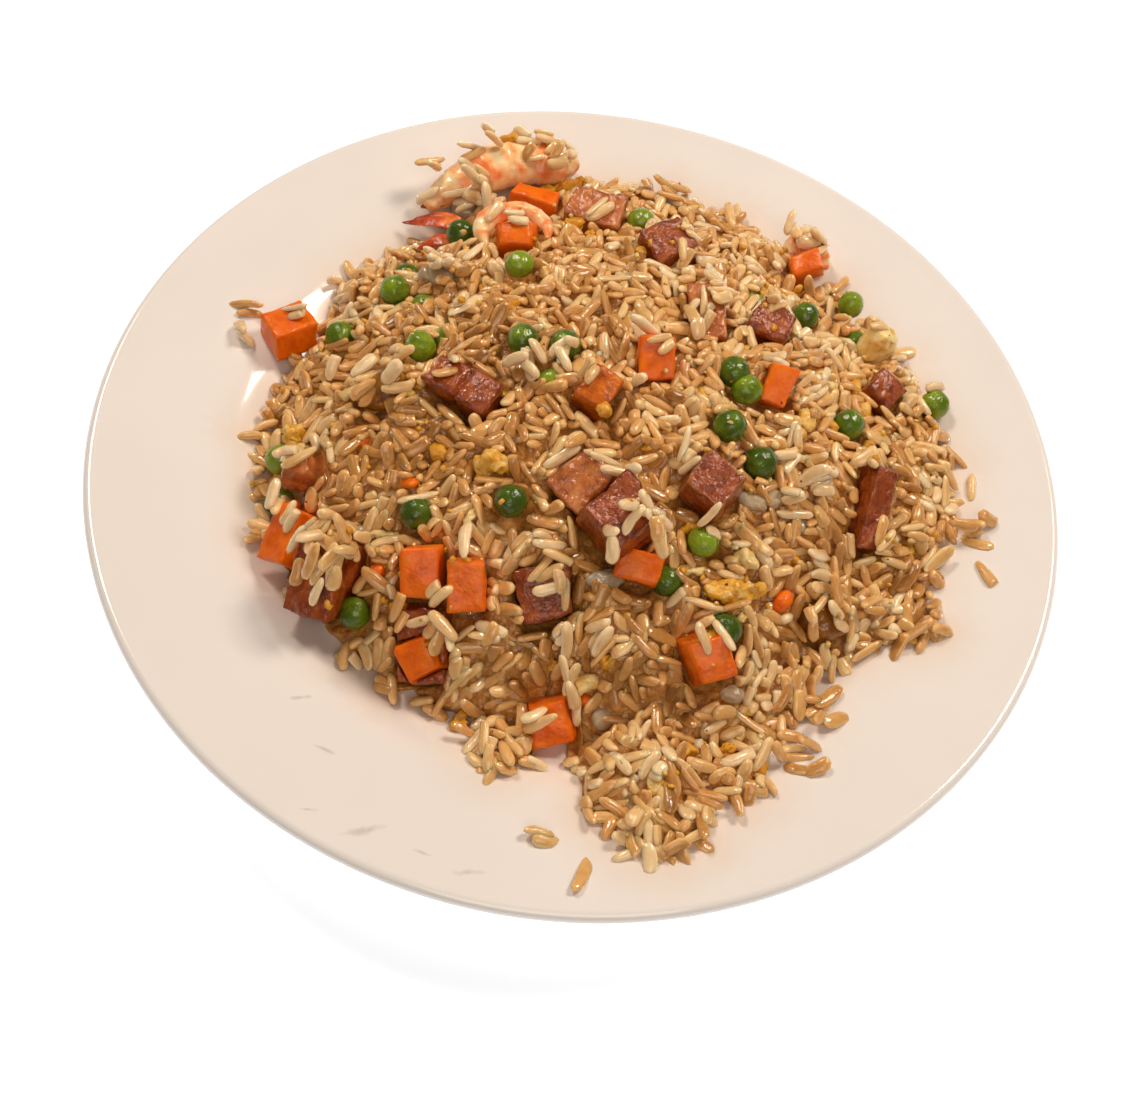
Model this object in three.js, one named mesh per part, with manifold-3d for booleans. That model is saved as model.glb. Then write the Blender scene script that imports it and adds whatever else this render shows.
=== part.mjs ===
// Fried rice heaped on a round plate with a wide rim, with peas, diced carrot, ham, fruit, shrimp and egg.
// Millimetres, +Z up. The origin is on the table under the middle of the plate, and -Y is the near side.
import * as THREE from "three";
import { ConvexGeometry } from "three/addons/geometries/ConvexGeometry.js";
import { mergeVertices } from "three/addons/utils/BufferGeometryUtils.js";
import Module from "manifold-3d";

const wasm = await Module();
wasm.setup();

const { clamp, degToRad, lerp, smoothstep } = THREE.MathUtils;

// ---------------------------------------------------------------- driving dimensions

const GAP = 0.3; // clearance between pieces that touch
const SEED = 20;

const PLATE = {
  radius: 140,
  height: 25,
  wellTop: 7, // the flat that carries the food
  wellRadius: 84, // where the flat starts to curve up
  shoulderRadius: 104, // where the curve has become the flange
  coveRise: 7.5,
  flangeStart: 98,
  flangeSlope: 0.26,
  flangeBlend: 4, // half the width over which the flange's slope comes in
  thickness: 4,
  lipRadius: 2,
  footOuter: 68,
  footInner: 62,
  footRecess: 2.5,
  footChamfer: 1.5,
  segments: 48,
};
const COVE_RADII = [84, 89, 94, 99, 104]; // rings of points where the well curves up into the flange
const UNDERSIDE_RADII = [90, 97, 106];
const LIP_ANGLES = [-60, 0, 60, 110]; // degrees round the lip's section, from under it to over it

const GRAIN = { length: 9, width: 3, sides: 5 };

const HEAP = {
  x: 6,
  y: 6,
  crest: 52, // height of the top of the rice over the table
  edge: 2, // a grain's thickness stands at the very edge
  fullness: 0.75, // below 1 the dome is full, with steep sides
  rings: 19,
  // Reach of the heap from its middle, every 15 degrees counter-clockwise from +X, a quarter turn a row.
  reach: [
    [105, 104, 100, 99, 100, 103],
    [106, 103, 102, 99, 101, 96],
    [100, 101, 102, 101, 97, 96],
    [91, 98, 103, 96, 96, 102],
  ].flat(),
};

// Low tongues of rice that run out from under the heap: middle, half length, half width, bearing, height.
const TONGUES = [
  { x: 30, y: -96, long: 25, wide: 17, bearing: -80, high: 10, rings: 5 },
  { x: -9, y: -91, long: 11, wide: 8, bearing: -90, high: 7, rings: 3 },
  { x: 90, y: -38, long: 15, wide: 9, bearing: -4, high: 7, rings: 3 },
  { x: 51, y: -90, long: 12, wide: 9, bearing: -55, high: 8, rings: 3 },
];

const BUMPS = {
  count: 1000,
  field: 125, // half the side of the square that they are strewn over
  height: 3,
  sunk: 1, // depth of the hollows between them
  width: 4.4,
  lumpHeight: 0.8,
  lumpSize: 17,
  edgeShare: 0.4, // of the relief that is left at the very edge
};
const EDGE_GRAINS = { count: 18, inset: 1.5, scatter: 2.5, lift: 2, turn: 1.1 };

// ---------------------------------------------------------------- small tools

// A repeatable stream of numbers from 0 to 1.
function stream(seed) {
  let state = seed >>> 0;
  return () => {
    state = (state + 0x6d2b79f5) >>> 0;
    let mixed = Math.imul(state ^ (state >>> 15), state | 1);
    mixed ^= mixed + Math.imul(mixed ^ (mixed >>> 7), mixed | 61);
    return ((mixed ^ (mixed >>> 14)) >>> 0) / 4294967296;
  };
}

function between(random, low, high) {
  return low + (high - low) * random();
}

// A closed three.js geometry as a solid that can be joined and cut.
function toSolid(geometry, matrix = new THREE.Matrix4()) {
  const bare = geometry.clone().applyMatrix4(matrix);
  bare.deleteAttribute("normal");
  bare.deleteAttribute("uv");
  const merged = mergeVertices(bare, 1e-4);
  return new wasm.Manifold(
    new wasm.Mesh({
      numProp: 3,
      vertProperties: merged.attributes.position.array,
      triVerts: new Uint32Array(merged.index.array),
    }),
  );
}

function toGeometry(solid) {
  const { vertProperties, triVerts } = solid.getMesh();
  const geometry = new THREE.BufferGeometry();
  geometry.setAttribute("position", new THREE.BufferAttribute(vertProperties, 3));
  geometry.setIndex(new THREE.BufferAttribute(triVerts, 1));
  geometry.computeVertexNormals();
  return geometry;
}

// The biggest of the bodies that a cut has left.
function largestBody(solid) {
  return solid.decompose().reduce((best, body) => (body.volume() > best.volume() ? body : best));
}

function indexed(points, triangles) {
  const geometry = new THREE.BufferGeometry();
  geometry.setAttribute("position", new THREE.Float32BufferAttribute(points.flat(), 3));
  geometry.setIndex(triangles.flat());
  return geometry;
}

// ---------------------------------------------------------------- plate

// Height of the plate's upper face at a distance from its middle.
function plateTop(radius) {
  const { wellTop, wellRadius, shoulderRadius, coveRise, flangeStart, flangeSlope, flangeBlend } = PLATE;
  const past = radius - flangeStart;
  const soft = clamp(past + flangeBlend, 0, 2 * flangeBlend) ** 2 / (4 * flangeBlend);
  const ramp = past > flangeBlend ? past : soft;
  return wellTop + coveRise * smoothstep(radius, wellRadius, shoulderRadius) + flangeSlope * ramp;
}

function latheZ(profile) {
  const points = profile.map(([radius, z]) => new THREE.Vector2(radius, z));
  return new THREE.LatheGeometry(points, PLATE.segments).rotateX(Math.PI / 2);
}

// The whole profile, walked from the middle of the foot outwards under the plate and back over it.
function plateGeometry() {
  const { radius, height, thickness, lipRadius, footOuter, footInner, footRecess, footChamfer } = PLATE;
  const underside = (r) => [r, plateTop(r) - thickness];
  const lip = LIP_ANGLES.map((degrees) => [
    radius - lipRadius + lipRadius * Math.cos(degToRad(degrees)),
    height - lipRadius + lipRadius * Math.sin(degToRad(degrees)),
  ]);
  return latheZ([
    [0, footRecess],
    [footInner - footChamfer, footRecess],
    [footInner, 0],
    [footOuter, 0],
    [footOuter + footChamfer, PLATE.wellTop - thickness],
    ...UNDERSIDE_RADII.map(underside),
    ...lip,
    ...COVE_RADII.toReversed().map((r) => [r, plateTop(r)]),
    [0, PLATE.wellTop],
  ]);
}

// Everything up to a clearance above the plate's upper face, which cuts what rests on it.
function plateClearance() {
  const outside = PLATE.radius + 10;
  const floor = -10;
  return toSolid(
    latheZ([
      [0, floor],
      [outside, floor],
      [outside, plateTop(outside) + GAP],
      ...COVE_RADII.toReversed().map((r) => [r, plateTop(r) + GAP]),
      [0, PLATE.wellTop + GAP],
    ]),
  );
}

// ---------------------------------------------------------------- surface of the rice

// Reach of the heap at an angle, on a smooth closed curve through the listed reaches.
function heapReach(angle) {
  const count = HEAP.reach.length;
  const place = THREE.MathUtils.euclideanModulo((angle / (2 * Math.PI)) * count, count);
  const first = Math.floor(place);
  const t = place - first;
  const [a, b, c, d] = [-1, 0, 1, 2].map((step) => HEAP.reach[(first + step + count) % count]);
  const cubic = 3 * b - a - 3 * c + d;
  return b + 0.5 * t * (c - a + t * (2 * a - 5 * b + 4 * c - d + t * cubic));
}

// A mound's smooth height over the table, where share runs from 0 at its middle to 1 at its edge.
function moundHeight(x, y, crest, share) {
  const full = Math.max(0, 1 - share * share) ** HEAP.fullness;
  return lerp(plateTop(Math.hypot(x, y)) + HEAP.edge, crest, full);
}

function crown(x, y) {
  const dx = x - HEAP.x;
  const dy = y - HEAP.y;
  return moundHeight(x, y, HEAP.crest, Math.hypot(dx, dy) / heapReach(Math.atan2(dy, dx)));
}

const bumpGrains = (() => {
  const random = stream(SEED);
  return Array.from({ length: BUMPS.count }, () => ({
    x: between(random, -BUMPS.field, BUMPS.field),
    y: between(random, -BUMPS.field, BUMPS.field),
    turn: between(random, 0, Math.PI),
  }));
})();

// Relief of grain-sized bumps over broad shallow lumps.
function relief(x, y) {
  let grain = 0;
  for (const bump of bumpGrains) {
    const dx = x - bump.x;
    const dy = y - bump.y;
    if (Math.abs(dx) > GRAIN.length || Math.abs(dy) > GRAIN.length) continue;
    const along = (dx * Math.cos(bump.turn) + dy * Math.sin(bump.turn)) / (GRAIN.length / 2);
    const across = (dy * Math.cos(bump.turn) - dx * Math.sin(bump.turn)) / (BUMPS.width / 2);
    grain = Math.max(grain, 1 - along * along - across * across);
  }
  const wave = (2 * Math.PI) / BUMPS.lumpSize;
  const lump = Math.sin(wave * x + 2 * Math.sin(wave * 0.6 * y)) * Math.cos(wave * y + 1);
  return BUMPS.height * Math.sqrt(grain) - BUMPS.sunk + BUMPS.lumpHeight * lump;
}

// A closed mound: ring k has 6k points, each at its share of the reach, and a wall runs down to the floor.
function moundGeometry({ x, y, crest, rings, reach }) {
  const floor = 0;
  const points = [[x, y, crest]];
  const ringStart = (ring) => (ring === 0 ? 0 : 1 + 3 * ring * (ring - 1));
  for (let ring = 1; ring <= rings; ring++) {
    const share = ring / rings;
    for (let k = 0; k < 6 * ring; k++) {
      const angle = (2 * Math.PI * k) / (6 * ring);
      const px = x + share * reach(angle) * Math.cos(angle);
      const py = y + share * reach(angle) * Math.sin(angle);
      const bumpShare = ring === rings ? BUMPS.edgeShare : 1;
      points.push([px, py, moundHeight(px, py, crest, share) + bumpShare * relief(px, py)]);
    }
  }
  const triangles = [];
  for (let ring = 1; ring <= rings; ring++) {
    const outer = (k) => ringStart(ring) + (k % (6 * ring));
    const inner = (k) => (ring === 1 ? 0 : ringStart(ring - 1) + (k % (6 * (ring - 1))));
    for (let sector = 0; sector < 6; sector++) {
      for (let k = 0; k < ring; k++) {
        const out = sector * ring + k;
        const inn = sector * (ring - 1) + k;
        triangles.push([outer(out), outer(out + 1), inner(inn)]);
        if (k < ring - 1) triangles.push([inner(inn), outer(out + 1), inner(inn + 1)]);
      }
    }
  }
  const rim = 6 * rings;
  const rimStart = ringStart(rings);
  const footStart = points.length;
  for (let k = 0; k < rim; k++) {
    const [px, py] = points[rimStart + k];
    points.push([px, py, floor]);
  }
  const footMiddle = points.length;
  points.push([x, y, floor]);
  for (let k = 0; k < rim; k++) {
    const next = (k + 1) % rim;
    triangles.push([rimStart + k, footStart + k, rimStart + next]);
    triangles.push([rimStart + next, footStart + k, footStart + next]);
    triangles.push([footMiddle, footStart + next, footStart + k]);
  }
  return indexed(points, triangles);
}

function ellipseReach({ long, wide, bearing }) {
  return (angle) => {
    const turned = angle - degToRad(bearing);
    return (long * wide) / Math.hypot(wide * Math.cos(turned), long * Math.sin(turned));
  };
}

const heapMound = { ...HEAP, reach: heapReach };
const tongueMounds = TONGUES.map((tongue) => ({
  ...tongue,
  crest: plateTop(Math.hypot(tongue.x, tongue.y)) + tongue.high,
  reach: ellipseReach(tongue),
}));

// ---------------------------------------------------------------- shapes of the pieces

// A plump grain with blunt ends, along Y.
function grainGeometry(length, width) {
  const profile = [
    [0, -length / 2],
    [width / 2, -length / 3],
    [width / 2, length / 3],
    [0, length / 2],
  ];
  return new THREE.LatheGeometry(
    profile.map(([r, along]) => new THREE.Vector2(r, along)),
    GRAIN.sides,
  );
}

// A cut cube with each corner moved a little; taper is the share by which its upper face is narrower.
function diceGeometry([width, depth, height], grow, random, uneven, taper) {
  const points = [];
  for (const sx of [-1, 1])
    for (const sy of [-1, 1])
      for (const sz of [-1, 1]) {
        const narrow = sz > 0 ? 1 - taper : 1;
        const [jx, jy, jz] = [0, 0, 0].map(() => between(random, -uneven, uneven));
        points.push(
          new THREE.Vector3(
            sx * ((width / 2) * narrow + grow) + jx,
            sy * ((depth / 2) * narrow + grow) + jy,
            sz * (height / 2 + grow) + jz,
          ),
        );
      }
  return new ConvexGeometry(points);
}

// A soft lump: a sphere of few faces, stretched and dented.
function lumpGeometry([width, depth, height], grow, random, uneven) {
  const ball = mergeVertices(bareIcosahedron(1), 1e-4);
  const place = ball.attributes.position;
  for (let i = 0; i < place.count; i++) {
    const dent = 1 - between(random, 0, uneven);
    place.setXYZ(
      i,
      place.getX(i) * (width / 2) * dent + Math.sign(place.getX(i)) * grow,
      place.getY(i) * (depth / 2) * dent + Math.sign(place.getY(i)) * grow,
      place.getZ(i) * (height / 2) * dent + Math.sign(place.getZ(i)) * grow,
    );
  }
  return ball;
}

function bareIcosahedron(detail) {
  const geometry = new THREE.IcosahedronGeometry(1, detail);
  geometry.deleteAttribute("normal");
  geometry.deleteAttribute("uv");
  return geometry;
}

// A body swept along a smooth line, with a half width and half height at each of its listed stations.
function sweptGeometry({ line, halfWidths, halfHeights, steps, sides, ridge, segments }, grow) {
  const curve = new THREE.CatmullRomCurve3(line.map((point) => new THREE.Vector3(...point)));
  const along = (values, t) => {
    const place = t * (values.length - 1);
    const first = Math.min(Math.floor(place), values.length - 2);
    return lerp(values[first], values[first + 1], place - first);
  };
  const up = new THREE.Vector3(0, 0, 1);
  const points = [];
  for (let step = 0; step <= steps; step++) {
    const t = step / steps;
    const middle = curve.getPoint(t);
    const side = new THREE.Vector3().crossVectors(curve.getTangent(t), up).normalize();
    const lift = new THREE.Vector3().crossVectors(side, curve.getTangent(t)).normalize();
    const swell = 1 + ridge * Math.abs(Math.sin(Math.PI * segments * t));
    for (let k = 0; k < sides; k++) {
      const angle = (2 * Math.PI * k) / sides;
      const across = Math.cos(angle) * (along(halfWidths, t) * swell + grow);
      const over = Math.sin(angle) * (along(halfHeights, t) * swell + grow);
      points.push(middle.clone().addScaledVector(side, across).addScaledVector(lift, over).toArray());
    }
  }
  const triangles = [];
  for (let step = 0; step < steps; step++)
    for (let k = 0; k < sides; k++) {
      const [a, b] = [step * sides + k, step * sides + ((k + 1) % sides)];
      const [c, d] = [a + sides, b + sides];
      triangles.push([a, c, b], [b, c, d]);
    }
  for (let k = 1; k < sides - 1; k++) {
    const last = steps * sides;
    triangles.push([0, k, k + 1], [last, last + k + 1, last + k]);
  }
  return indexed(points, triangles);
}

// ---------------------------------------------------------------- toppings
// Each stands at x, y on the smooth heap, with its middle `out` above that surface. A face looks `tilt`
// degrees from straight up towards a bearing counter-clockwise from +X, and the piece is spun about it.

const PEA_RADIUS = 4.6;
const PEAS = [
  { x: -48, y: 70, out: 4, size: 1.04 },
  { x: -27, y: 48, out: 2.5, size: 0.95 },
  { x: 7, y: 83, out: 2, size: 0.98 },
  { x: -63, y: 40, out: 3, size: 1.0 },
  { x: -77, y: 27, out: 2, size: 1.0 },
  { x: -50, y: 13, out: 2, size: 1.0 },
  { x: -21, y: 14, out: 2.5, size: 1.0 },
  { x: -9, y: 14, out: 1.5, size: 0.98 },
  { x: 61, y: 56, out: 2, size: 0.96 },
  { x: 76, y: 69, out: 5, size: 0.93 },
  { x: 39, y: 15, out: 3, size: 0.98 },
  { x: 43, y: 11, out: 2, size: 0.98 },
  { x: 39, y: -4, out: 3, size: 1.04 },
  { x: 49, y: -11, out: 1.5, size: 1.04 },
  { x: 75, y: 14, out: 1, size: 0.98 },
  { x: 104, y: 38, out: 4, size: 0.98 },
  { x: -84, y: -20, out: 4, size: 0.98 },
  { x: -16, y: -37, out: 3, size: 1.0 },
  { x: -41, y: -40, out: 1, size: 0.98 },
  { x: 36, y: -38, out: 1, size: 0.96 },
  { x: 45, y: -58, out: 1, size: 1.02 },
  { x: -53, y: -64, out: 2, size: 0.96 },
];

const CARROTS = [
  { x: -93, y: 28, out: 7, size: [14, 12, 10], face: [95, 10, 40] },
  { x: -28, y: 93, out: 2, size: [15, 7, 7], face: [90, 10, -12] },
  { x: -30, y: 64, out: 3, size: [13, 10, 8], face: [270, 25, 8], taper: 0.35 },
  { x: 17, y: 14, out: 1, size: [10, 12, 10], face: [270, 32, 6] },
  { x: 2, y: -2, out: 2, size: [9.5, 11, 10], face: [290, 20, -22] },
  { x: 52, y: 16, out: 2, size: [8, 11.5, 9], face: [270, 30, -12] },
  { x: 61, y: 81, out: 5, size: [10, 7, 8], face: [260, 20, 25] },
  { x: -36, y: -55, out: 2, size: [10.3, 13.5, 10], face: [268, 40, 9] },
  { x: -24, y: -58, out: 3, size: [10, 13.5, 10], face: [272, 40, 7] },
  { x: -33, y: -74, out: 2.5, size: [12, 13, 9], face: [255, 40, 30], taper: 0.3 },
  { x: -75, y: -44, out: 3, size: [10, 16, 10], face: [200, 40, -20] },
  { x: 20, y: -47, out: -1, size: [11.5, 8, 8], face: [270, 25, -5] },
  { x: 42, y: -66, out: 3, size: [13, 14, 11], face: [275, 35, 30], taper: 0.2 },
  { x: 4, y: -83, out: 2, size: [12, 13, 10], face: [265, 40, 20], taper: 0.15 },
];

const HAMS = [
  { x: -8, y: 85, out: 2, size: [18, 13, 11], face: [265, 12, -8] },
  { x: 16, y: 66, out: 2, size: [14, 13, 13], face: [270, 10, 35] },
  { x: 30, y: 39, out: -1, size: [11, 18, 9], face: [270, 15, 10] },
  { x: 50, y: 43, out: 1, size: [12, 11, 9], face: [270, 15, -20] },
  { x: 86, y: 34, out: 2, size: [10, 10, 8], face: [330, 20, -30] },
  { x: 83, y: -11, out: 2, size: [7, 25, 10], face: [300, 38, 2] },
  { x: -35, y: -3, out: 0.5, size: [20, 10, 9], face: [260, 12, -25] },
  { x: -77, y: -25, out: 2.5, size: [13, 9, 8], face: [230, 25, 15], taper: 0.4 },
  { x: -62, y: -56, out: 4, size: [15, 22, 14], face: [240, 35, -12] },
  { x: -33, y: -70, out: -1, size: [14, 20, 9], face: [262, 42, 6] },
  { x: -3, y: -56, out: -1.5, size: [14, 14, 9], face: [265, 32, 20] },
  { x: 2, y: -27, out: -1, size: [12, 15, 9], face: [262, 25, -35] },
  { x: 13, y: -38, out: 4, size: [16, 17, 14], face: [270, 12, -40] },
  { x: 36, y: -24, out: 4.5, size: [13, 13, 13], face: [272, 16, -30] },
];

const FRUITS = [
  { x: 84, y: 53, out: 4, size: [15, 11, 17], face: [0, 0, 20] },
  { x: -58, y: -1, out: 0.5, size: [18, 13, 9], face: [180, 30, 0] },
  { x: 74, y: -44, out: 0.5, size: [16, 12, 10], face: [300, 25, 10] },
];

const EGGS = [
  { x: -23, y: -26, out: 1, size: [11, 9, 7], face: [270, 20, 20] },
  { x: -82, y: -12, out: 1.5, size: [10, 9, 7], face: [190, 20, 0] },
  { x: 46, y: -48, out: 1.5, size: [21, 9, 7], face: [290, 25, 12] },
];

// The whole shrimp lies curled on the far edge of the heap and ends in a fan of tail fins.
const WHOLE_SHRIMP = {
  line: [
    [-19, 112, 23],
    [-31, 109, 24.5],
    [-42, 104, 24.6],
    [-52, 98, 24],
    [-58, 91, 22.5],
    [-63, 85, 20.8],
    [-69, 79, 19.7],
  ],
  halfWidths: [5, 7.5, 8, 7.5, 6, 3.5, 7.5, 5],
  halfHeights: [4.5, 6, 6.4, 6, 5, 3, 1.3, 0.8],
  steps: 18,
  sides: 8,
  ridge: 0.14,
  segments: 6,
};

const SHRIMP_CURL = {
  line: [
    [56, 88, 20],
    [57, 92, 22.5],
    [61, 94, 24],
    [65, 92, 23],
    [68, 88, 20.5],
  ],
  halfWidths: [2.2, 3, 3.4, 3, 2.2],
  halfHeights: [2.2, 3, 3.4, 3, 2.2],
  steps: 8,
  sides: 8,
  ridge: 0.12,
  segments: 4,
};

const SHRIMPS = [WHOLE_SHRIMP, SHRIMP_CURL];

// Places a piece on the heap, turned as its face says.
function pose({ x, y, out, face: [bearing, tilt, spin] = [270, 0, 0] }) {
  const heading = degToRad(bearing + 90);
  const matrix = new THREE.Matrix4().makeTranslation(x, y, crown(x, y) - HEAP.edge + out);
  matrix.multiply(new THREE.Matrix4().makeRotationZ(heading));
  matrix.multiply(new THREE.Matrix4().makeRotationX(degToRad(tilt)));
  return matrix.multiply(new THREE.Matrix4().makeRotationZ(degToRad(spin) - heading));
}

const peaGeometry = ({ size }, grow) => bareIcosahedron(1).scale(...Array(3).fill(PEA_RADIUS * size + grow));
const carrotGeometry = ({ size, taper = 0 }, grow, random) => diceGeometry(size, grow, random, 0.6, taper);
const hamGeometry = ({ size, taper = 0.04 }, grow, random) => diceGeometry(size, grow, random, 0.9, taper);
const fruitGeometry = ({ size }, grow, random) => lumpGeometry(size, grow, random, 0.12);
const eggGeometry = ({ size }, grow, random) => lumpGeometry(size, grow, random, 0.35);

// [name, pieces, shape, colour, roughness]; the firmer pieces come first and keep their form.
const KINDS = [
  ["carrot", CARROTS, carrotGeometry, 0xe8701c, 0.35],
  ["ham", HAMS, hamGeometry, 0xb0604c, 0.45],
  ["pea", PEAS, peaGeometry, 0x3f8a2a, 0.25],
  ["shrimp", SHRIMPS, sweptGeometry, 0xf0a27c, 0.35],
  ["fruit", FRUITS, fruitGeometry, 0xdca93c, 0.3],
  ["egg", EGGS, eggGeometry, 0xf2c75a, 0.5],
];

// Each topping as a solid, and the room that it takes from what comes after it.
function makeToppings(platformCut) {
  const made = [];
  KINDS.forEach(([kind, pieces, shape, colour, roughness], kindIndex) => {
    pieces.forEach((piece, index) => {
      const seed = SEED + 100 * kindIndex + index;
      const matrix = piece.line ? new THREE.Matrix4() : pose(piece);
      let solid = toSolid(shape(piece, 0, stream(seed)), matrix);
      const room = toSolid(shape(piece, GAP, stream(seed)), matrix);
      for (const other of made) solid = solid.subtract(other.room);
      made.push({
        name: `${kind}_${String(index + 1).padStart(2, "0")}`,
        solid: largestBody(solid.subtract(platformCut)),
        room,
        colour,
        roughness,
      });
    });
  });
  return made;
}

// ---------------------------------------------------------------- rice

// Grains that stick out along a mound's edge, lying on the plate.
function edgeGrains(mound, count, random) {
  return Array.from({ length: count }, (_, k) => {
    const angle = (2 * Math.PI * (k + random())) / count;
    const out = mound.reach(angle) - EDGE_GRAINS.inset + between(random, 0, EDGE_GRAINS.scatter);
    const turn = angle + between(random, -EDGE_GRAINS.turn, EDGE_GRAINS.turn);
    const length = GRAIN.length * between(random, 0.9, 1.15);
    const ends = [-0.5, 0.5].map((end) => {
      const px = mound.x + out * Math.cos(angle) + end * length * Math.cos(turn);
      const py = mound.y + out * Math.sin(angle) + end * length * Math.sin(turn);
      return new THREE.Vector3(px, py, plateTop(Math.hypot(px, py)) + EDGE_GRAINS.lift);
    });
    const axis = ends[1].clone().sub(ends[0]).normalize();
    const turned = new THREE.Quaternion().setFromUnitVectors(new THREE.Vector3(0, 1, 0), axis);
    const middle = ends[0].clone().lerp(ends[1], 0.5);
    const matrix = new THREE.Matrix4().compose(middle, turned, new THREE.Vector3(1, 1, 1));
    return toSolid(grainGeometry(length, GRAIN.width), matrix);
  });
}

function makeRice(toppings, platformCut) {
  const random = stream(SEED + 1);
  const mounds = [heapMound, ...tongueMounds];
  const grains = mounds.flatMap((mound) =>
    edgeGrains(mound, Math.round((EDGE_GRAINS.count * mound.rings) / HEAP.rings), random),
  );
  const joined = wasm.Manifold.union([...mounds.map((mound) => toSolid(moundGeometry(mound))), ...grains]);
  const rooms = wasm.Manifold.union(toppings.map(({ room }) => room));
  return largestBody(joined.subtract(platformCut).subtract(rooms));
}

// ---------------------------------------------------------------- the part

function namedMesh(name, geometry, colour, roughness) {
  const looks = { color: colour, roughness, metalness: 0, flatShading: true };
  const material = new THREE.MeshStandardMaterial(looks);
  const mesh = new THREE.Mesh(geometry, material);
  mesh.name = name;
  return mesh;
}

const platformCut = plateClearance();
const toppings = makeToppings(platformCut);

const group = new THREE.Group();
group.name = "fried_rice_plate";
group.add(namedMesh("plate", plateGeometry(), 0xefe3d6, 0.2));
group.add(namedMesh("rice", toGeometry(makeRice(toppings, platformCut)), 0xc9a271, 0.5));
for (const { name, solid, colour, roughness } of toppings)
  group.add(namedMesh(name, toGeometry(solid), colour, roughness));

export default group;
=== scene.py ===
"""Fried rice heaped on a wide-rimmed plate, with peas, carrot, ham, fruit, shrimp and egg.

Sizes are in millimetres, and a shape is turned to metres where it becomes an object. The frame says where
the heap and each topping lie and what form they have. The classes below give them their fine shape and
their finish, and lay the grains of the heap one by one.
"""

import itertools
import logging
import math
from dataclasses import dataclass, field, replace
from enum import Enum
from typing import Iterable, Sequence

import bmesh
import bpy
import numpy as np
from mathutils import Matrix, Vector
from mathutils.bvhtree import BVHTree


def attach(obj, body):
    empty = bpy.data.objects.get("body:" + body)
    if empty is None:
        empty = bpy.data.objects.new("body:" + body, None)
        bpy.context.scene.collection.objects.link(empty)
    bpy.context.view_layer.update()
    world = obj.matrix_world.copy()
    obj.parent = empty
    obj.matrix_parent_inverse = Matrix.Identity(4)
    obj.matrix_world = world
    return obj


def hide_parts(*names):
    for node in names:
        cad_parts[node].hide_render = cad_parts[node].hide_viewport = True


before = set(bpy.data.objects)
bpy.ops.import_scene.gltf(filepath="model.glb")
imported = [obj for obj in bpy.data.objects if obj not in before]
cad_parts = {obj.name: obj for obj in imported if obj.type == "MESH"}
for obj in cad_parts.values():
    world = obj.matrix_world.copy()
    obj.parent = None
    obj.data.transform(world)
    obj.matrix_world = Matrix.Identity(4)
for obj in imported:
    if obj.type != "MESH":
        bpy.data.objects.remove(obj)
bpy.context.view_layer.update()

log = logging.getLogger("fried_rice_plate")

MM = 0.001
SEED = 11
DOWN = Vector((0, 0, -1))
SKY = 90.0  # mm, a height over all the food, from which rays are cast down
NOWHERE = -1e6  # height of a cell that a ray from above doesn't meet

Array = np.ndarray
Vec3 = tuple[float, float, float]
Size = tuple[float, float, float]


# ------------------------------------------------------------------ shapes


@dataclass
class Shape:
    """A mesh in the making.

    Attributes:
        points: n by 3 places in millimetres.
        faces: point numbers of each face.
        values: named values from 0 to 1 or -1 to 1 at the points, which the finishes read.
    """

    points: Array
    faces: list[Sequence[int]]
    values: dict[str, Array] = field(default_factory=dict)

    @classmethod
    def joined(cls, shapes: Sequence["Shape"]) -> "Shape":
        """Joins shapes that have the same named values.

        Args:
            shapes: the shapes to join.

        Returns:
            One shape with all their points and faces.
        """
        starts = np.cumsum([0] + [len(shape.points) for shape in shapes])
        faces: list[Sequence[int]] = []
        for shape, start in zip(shapes, starts):
            faces += [tuple(number + start for number in face) for face in shape.faces]
        values = {name: np.concatenate([shape.values[name] for shape in shapes]) for name in shapes[0].values}
        return cls(np.concatenate([shape.points for shape in shapes]), faces, values)

    def normals(self) -> Array:
        """Works out the normals at the points.

        Returns:
            A unit vector for each point.
        """
        fans = np.array([(f[0], f[i], f[i + 1]) for f in self.faces for i in range(1, len(f) - 1)])
        corners = self.points[fans]
        across = np.cross(corners[:, 1] - corners[:, 0], corners[:, 2] - corners[:, 0])
        total = np.zeros_like(self.points)
        for corner in range(3):
            np.add.at(total, fans[:, corner], across)
        return total / np.maximum(np.linalg.norm(total, axis=1, keepdims=True), 1e-12)

    def swell(self, amounts: Array) -> None:
        """Moves each point out along its normal by its amount, in millimetres."""
        self.points = self.points + self.normals() * amounts[:, None]

    def moved(self, matrix: Matrix) -> "Shape":
        """A copy that is turned, scaled and placed by a matrix."""
        array = np.array(matrix)
        return Shape(self.points @ array[:3, :3].T + array[:3, 3], self.faces, self.values)


def smooth_noise(points: Array, size: float, seed: int) -> Array:
    """Smooth noise that changes over a distance of size.

    Args:
        points: n by 3 places in millimetres.
        size: distance between the points of the noise's lattice.
        seed: picks one of many such noises.

    Returns:
        A value from -1 to 1 for each place.
    """
    scaled = points / size + 0.618 * (seed % 97)
    cell = np.floor(scaled)
    part = scaled - cell
    part = part * part * (3 - 2 * part)
    cell = cell.astype(np.int64)
    total = np.zeros(len(points))
    # A plain integer hash of its place gives each point of the lattice a value.
    for corner in itertools.product((0, 1), repeat=3):
        weight = np.where(np.array(corner) == 1, part, 1 - part).prod(axis=1)
        x, y, z = ((cell + corner) & 0xFFFF).T
        mixed = (x * 73856093 ^ y * 19349663 ^ z * 83492791 ^ seed * 2654435761) & 0xFFFFFFFF
        mixed = (mixed ^ (mixed >> 15)) * 2246822519 & 0xFFFFFFFF
        total += weight * ((mixed ^ (mixed >> 13)) & 0xFFFF) / 0x7FFF
    return total - 1


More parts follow.
